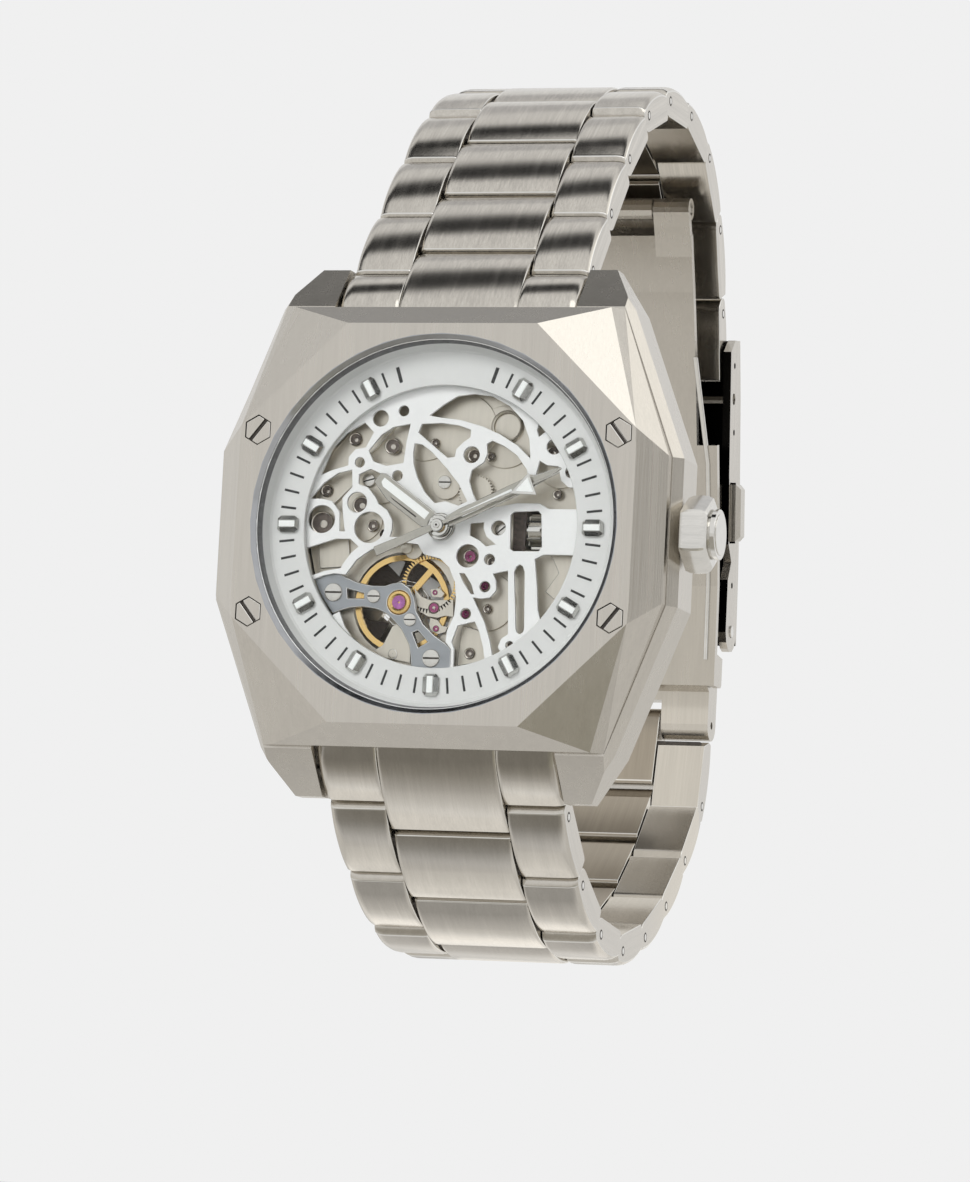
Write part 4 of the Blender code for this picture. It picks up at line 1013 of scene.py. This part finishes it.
# The plates beside the balance and under the pallet's jewels: front depth, back depth, outline
SIDE_PLATES = (
    (4.16, 4.38, (
        (-4.6, -9.1), (-5.4, -10.8), (-6.2, -11.3), (-5.5, -11.9), (-2.7, -12.4), (-2.8, -9.7), (-3.8, -8.6),
    )),
    (4.2, 4.34, (
        (-2.7, -5.5), (-1.9, -6.3), (-1.0, -6.6), (1.1, -6.5), (1.2, -8.1), (0.4, -8.0), (-0.3, -8.2),
        (-1.2, -8.1), (-2.2, -7.6),
    )),
    (4.22, 4.36, (
        (-1.0, -8.2), (-0.3, -8.4), (0.1, -8.9), (0.7, -9.0), (0.5, -9.5), (-0.2, -9.7), (-0.9, -9.4),
        (-1.1, -8.8),
    )),
    (4.02, 4.17, ((-1.1, -5.6), (-0.2, -5.5), (0.3, -6.0), (0.0, -6.35), (-0.9, -6.3))),
)


def build_balance_surroundings():
    """Light showing through the movement, the dark barrel beside the balance, and the plates round it."""
    bm = bmesh.new()
    for outline in GAPS:
        prism(bm, outline, 7.0, 7.12)
    settle("movement_gaps", bm, (paint("gap_white", (0.95, 0.95, 0.95), 0.8),))
    bm = bmesh.new()
    for outline in UNDER_BALANCE:
        prism(bm, outline, 7.0, 7.14)
    settle("barrel_window", bm, (barrel_brown(),), bevel=0.04)
    bm = bmesh.new()
    for first, last, outline in SIDE_PLATES:
        prism(bm, outline, first, last)
    button(bm, -4.4, -11.6, 0.45, 4.2, 0.14, 24)
    looks = (nickel(), mirror_steel())
    settle("balance_side_plates", bm, looks, bevel=0.05, edge_look=1)
    bm = bmesh.new()
    button(bm, -2.9, -2.0, 0.85, 4.3, 0.2, 36, dome=0.1)
    button(bm, -3.5, -1.85, 0.55, 4.12, 0.42, 32, dome=0.15)
    settle("lever_boss", bm, (nickel(),))


# Along the crown: the share of its length, and the share of its reach
CROWN_STATIONS = ((0, 0.8), (0.04, 0.93), (0.15, 0.985), (0.33, 1.0), (0.5, 0.985), (0.6, 0.93), (0.64, 0.82))
# The cap's steps: radius, and the shares of the length where each starts and ends
CAP_STEPS = ((2.1, 0.62, 0.68), (2.3, 0.67, 0.79), (1.9, 0.78, 0.81))


def swollen_hexagon():
    """A six-sided outline of unit reach, whose sides bulge a little in the middle."""
    outline = []
    for k in range(6):
        a = math.radians(60 * k + 30)
        b = math.radians(60 * k + 90)
        for t in (0.04, 0.5, 0.96):
            bulge = 0.985 if t != 0.5 else 1.0
            across = math.cos(a) * (1 - t) + math.cos(b) * t
            along = math.sin(a) * (1 - t) + math.sin(b) * t
            outline.append((bulge * across, bulge * along))
    return outline


def build_crown():
    """A six-sided crown with swollen flats and a round cap."""
    low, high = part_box("crown")
    y = (low[1] + high[1]) / 2
    z = (low[2] + high[2]) / 2
    reach = (high[2] - low[2]) / 2 / MM
    start = low[0] / MM
    length = 0.87 * (high[0] - low[0]) / MM

    def place(a, b, x):
        return Vector((x * MM, y + a * MM, z + b * MM))

    bm = bmesh.new()
    rings = []
    for x, share in CROWN_STATIONS:
        size = reach * share
        along = start + length * x
        rings.append([bm.verts.new(place(size * a, size * b, along)) for a, b in swollen_hexagon()])
    skin(bm, rings)
    settle("crown_grip", bm, (crown_steel(),), "crown", "crown", sharp=20)
    bm = bmesh.new()
    for radius, first, last in CAP_STEPS:
        prism(bm, circle(0, 0, radius, 48), start + length * first, start + length * last, place)
    settle("crown_cap", bm, (mirror_steel(),), "crown", bevel=0.12)


def build_window_floor():
    """Painted shade: dark slabs for the shaded hollow beside the winding wheel, seen through the dial's
    square window.
    """
    bm = bmesh.new()
    prism(bm, ((6.4, -2.2), (7.55, -2.2), (7.6, 1.7), (6.3, 1.7)), 4.6, 4.78)
    prism(bm, ((9.25, -2.2), (9.8, -2.2), (9.7, 1.7), (9.25, 1.7)), 4.6, 4.78)
    brown = paint("window_painted_shade", (0.07, 0.052, 0.042), 0.5, 0.5, 3800.0)
    settle("window_floor", bm, (brown,), bevel=0.04)


def on_blade(x, z):
    """The depth in metres of the inner blade's wrist side at a place, or None beside the blade."""
    start = Vector((x * MM, 0.04, z * MM))
    found, place, _, _ = NODES["inner_blade"].ray_cast(start, Vector((0, 1, 0)))
    return place.y if found else None


BLADE_EDGE = (
    (8.9, 24.5), (9.15, 23.0), (9.7, 21.6), (10.0, 19.5), (10.05, 14.0), (10.05, 8.0), (10.05, 2.0),
    (10.05, -5.5),
)


def build_blade_rims():
    """A rolled bead along each long edge of the inner blade."""
    bead = [(0.26 * a, -0.3 * b) for a, b in circle(0, 0, 1, 8)]
    bm = bmesh.new()
    for sign in (1, -1):
        rings = []
        for x, z in BLADE_EDGE:
            y = on_blade(sign * x, z)
            if y is not None:
                rings.append([bm.verts.new((sign * (x + a) * MM, y + b * MM, z * MM)) for a, b in bead])
        skin(bm, rings)
    settle("blade_rims", bm, (mirror_steel(),), "inner_blade", sharp=60)


def cog(bm, x, z, radius, teeth, first, last):
    outline = []
    for k in range(teeth):
        for share, reach in ((0.0, 0.86), (0.28, 1.0), (0.5, 1.0), (0.78, 0.86)):
            a = 2 * math.pi * (k + share) / teeth
            outline.append((x + radius * reach * math.cos(a), z + radius * reach * math.sin(a)))
    prism(bm, outline, first, last)


def build_wheels():
    bm = bmesh.new()
    cog(bm, 2.7, 3.4, 1.75, 34, 4.25, 4.42)
    settle("setting_wheel", bm, (nickel(),), bevel=0.03)
    bm = bmesh.new()
    cog(bm, -1.2, -5.1, 2.7, 52, 4.2, 4.4)
    wheel = settle("third_gilt", bm, (gold(),), "case")
    cutter = bmesh.new()
    prism(cutter, circle(-1.2, -5.1, 2.3, 48), 3, 6)
    cut_out(wheel, cutter)
    rounded_edges(wheel, 0.03)


BRIDGE = (
    (-12.2, -4.9), (-10.6, -4.2), (-10.1, -4.1), (-9.2, -4.6), (-7.9, -5.15), (-6.5, -5.4), (-5.3, -5.4),
    (-4.6, -5.15),
    (-3.7, -5.05), (-2.9, -5.6), (-2.4, -6.5), (-2.15, -7.7), (-1.4, -8.9), (-0.3, -9.9), (1.1, -10.8),
    (1.4, -11.2),
    (1.4, -13.0), (-0.4, -13.0), (-2.4, -12.9), (-2.5, -11.9), (-2.7, -10.8), (-3.5, -9.4), (-4.4, -8.5),
    (-5.0, -8.0),
    (-5.9, -7.6), (-7.3, -7.4), (-8.5, -7.5), (-9.5, -7.8), (-10.2, -8.1), (-11.3, -6.6),
)


BRIDGE_CUTS = (
    ((-8.9, -5.75), (-7.3, -6.15), (-7.25, -6.6), (-8.8, -6.6)),
    ((-2.4, -9.7), (-1.9, -9.5), (-0.95, -10.5), (-1.8, -11.0)),
    circle(*JEWEL_PLACE, 1.1, 36),
)
BRIDGE_SCREWS = ((-10.2, -6.1, 0.85, 0), (-6.3, -6.4, 0.62, 0), (-2.7, -8.5, 0.6, 0), (-0.5, -12.0, 0.82, 0))


def build_balance_bridge():
    """The grey bridge over the balance, with its screws and the balance jewel in a gilt setting."""
    bm = bmesh.new()
    prism(bm, BRIDGE, BRIDGE_FRONT, BRIDGE_BACK)
    looks = (bridge_grey(), polished("bridge_edge", (0.8, 0.8, 0.79), 0.2))
    bridge = settle("bridge_y", bm, looks, "case", "balance_bridge")
    cutters = bmesh.new()
    for outline in BRIDGE_CUTS:
        prism(cutters, outline, BRIDGE_FRONT - 0.5, BRIDGE_BACK + 0.9)
    cut_out(bridge, cutters)
    rounded_edges(bridge, 0.1, 2, 1)
    screws("bridge_screws", BRIDGE_SCREWS, BRIDGE_FRONT + 0.02, 0.22)
    bm = bmesh.new()
    lathe(bm, [(0.62, 3.5), (0.8, 3.38), (1.02, 3.42), (1.1, 3.6), (1.1, 3.9), (0.62, 3.9)], JEWEL_PLACE, 48)
    settle("jewel_setting", bm, (gold(),), "case")
    bm = bmesh.new()
    lathe(bm, [(0.1, 3.52), (0.3, 3.46), (0.62, 3.46), (0.62, 3.8), (0.1, 3.8)], JEWEL_PLACE, 36)
    settle("jewel_main", bm, (paint("ruby_bright", (0.36, 0.12, 0.34), 0.12, 0.2),), "case")


# CAD nodes that keep their shape

# A look, the width of the rounded edges, and the nodes that have them
CARRIED = (
    (case_steel, 0.14, ("bezel", "case_middle", "inner_blade")),
    (case_steel, 0.12, ("push_button_left", "push_button_right")),
    (case_steel, 0.1, ("caseback_ring", "middle_blade")),
    (cover_steel, 0.16, ("clasp_cover",)),
    (mirror_steel, 0.12, ("clasp_hinge_pin",)),
    (mirror_steel, 0.1, ("blade_hinge_pin",)),
    (mirror_steel, 0.05, ("spring_bar_12", "spring_bar_6", "clasp_spring_bar")),
    (mirror_steel, 0.04, ("winding_pinion",)),
    (mirror_steel, 0, ("winding_stem", "escape_wheel", "pallet_fork", "hairspring")),
    (nickel, 0.1, ("rotor",)),
    (nickel, 0.08, ("main_plate", "train_bridge", "barrel_bridge")),
    (nickel, 0.05, ("movement_ring",)),
    (gold, 0.05, ("balance_wheel",)),
    (gold, 0, ("centre_wheel", "third_wheel", "fourth_wheel")),
    (barrel_brown, 0.03, ("mainspring_barrel",)),
)


def dress(name, *looks):
    node = NODES[name]
    node.data.materials.clear()
    for look in looks:
        node.data.materials.append(look)
    return node


def dress_cad_nodes():
    for look, width, names in CARRIED:
        edge_look = 1 if look in (case_steel, cover_steel) else -1
        for name in names:
            node = dress(name, look(), mirror_steel())
            if width:
                rounded_edges(node, width, 3, edge_look, angle=22.0)
    for name in ("crystal", "caseback_window"):
        dress(name, crystal_glass(name + "_glass", (0.985, 0.99, 0.99)))


def build_bezel_screws():
    """Hexagonal bezel screws with a slot each, in the CAD screws' places."""
    for k in range(1, 5):
        node = f"bezel_screw_{k}"
        low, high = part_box(node)
        x = (low[0] + high[0]) / 2 / MM
        z = (low[2] + high[2]) / 2 / MM
        radius = (high[2] - low[2]) / 2 / MM
        first = low[1] / MM + CASE_DEPTH
        last = high[1] / MM + CASE_DEPTH
        slant = SLOT_SLANT if x * z < 0 else -SLOT_SLANT
        bm = bmesh.new()
        prism(bm, circle(x, z, radius, 6, math.pi / 2), first, last)
        piece = settle(f"screw_{k}", bm, (case_steel(), mirror_steel()), "case", node)
        cutter = bmesh.new()
        slot = turn(rectangle(-0.16, 0.16, -2, 2), slant)
        prism(cutter, moved(slot, x, z), first - 1, first + 0.3)
        cut_out(piece, cutter)
        rounded_edges(piece, 0.07, 2, 1)
        bm = bmesh.new()
        shade = turn(rectangle(-0.15, 0.06, -0.98 * radius, 0.98 * radius), slant)
        prism(bm, moved(shade, x, z), first + 0.2, first + 0.4)
        settle(f"screw_slot_{k}", bm, (hollow(),), "case", bevel=0.02)


build_camera()
build_stage()
dress_cad_nodes()
build_bezel_screws()
build_side("12", 1, 9, 50.0, "cover_hinge", 1.75)
build_side("6", -1, 8, -50.0, None, 0.55)
build_dial()
build_chapter()
build_rims()
build_markers()
build_hands()
build_plates()
build_wheels()
build_balance_bridge()
build_balance_surroundings()
build_crown()
build_window_floor()
build_blade_rims()
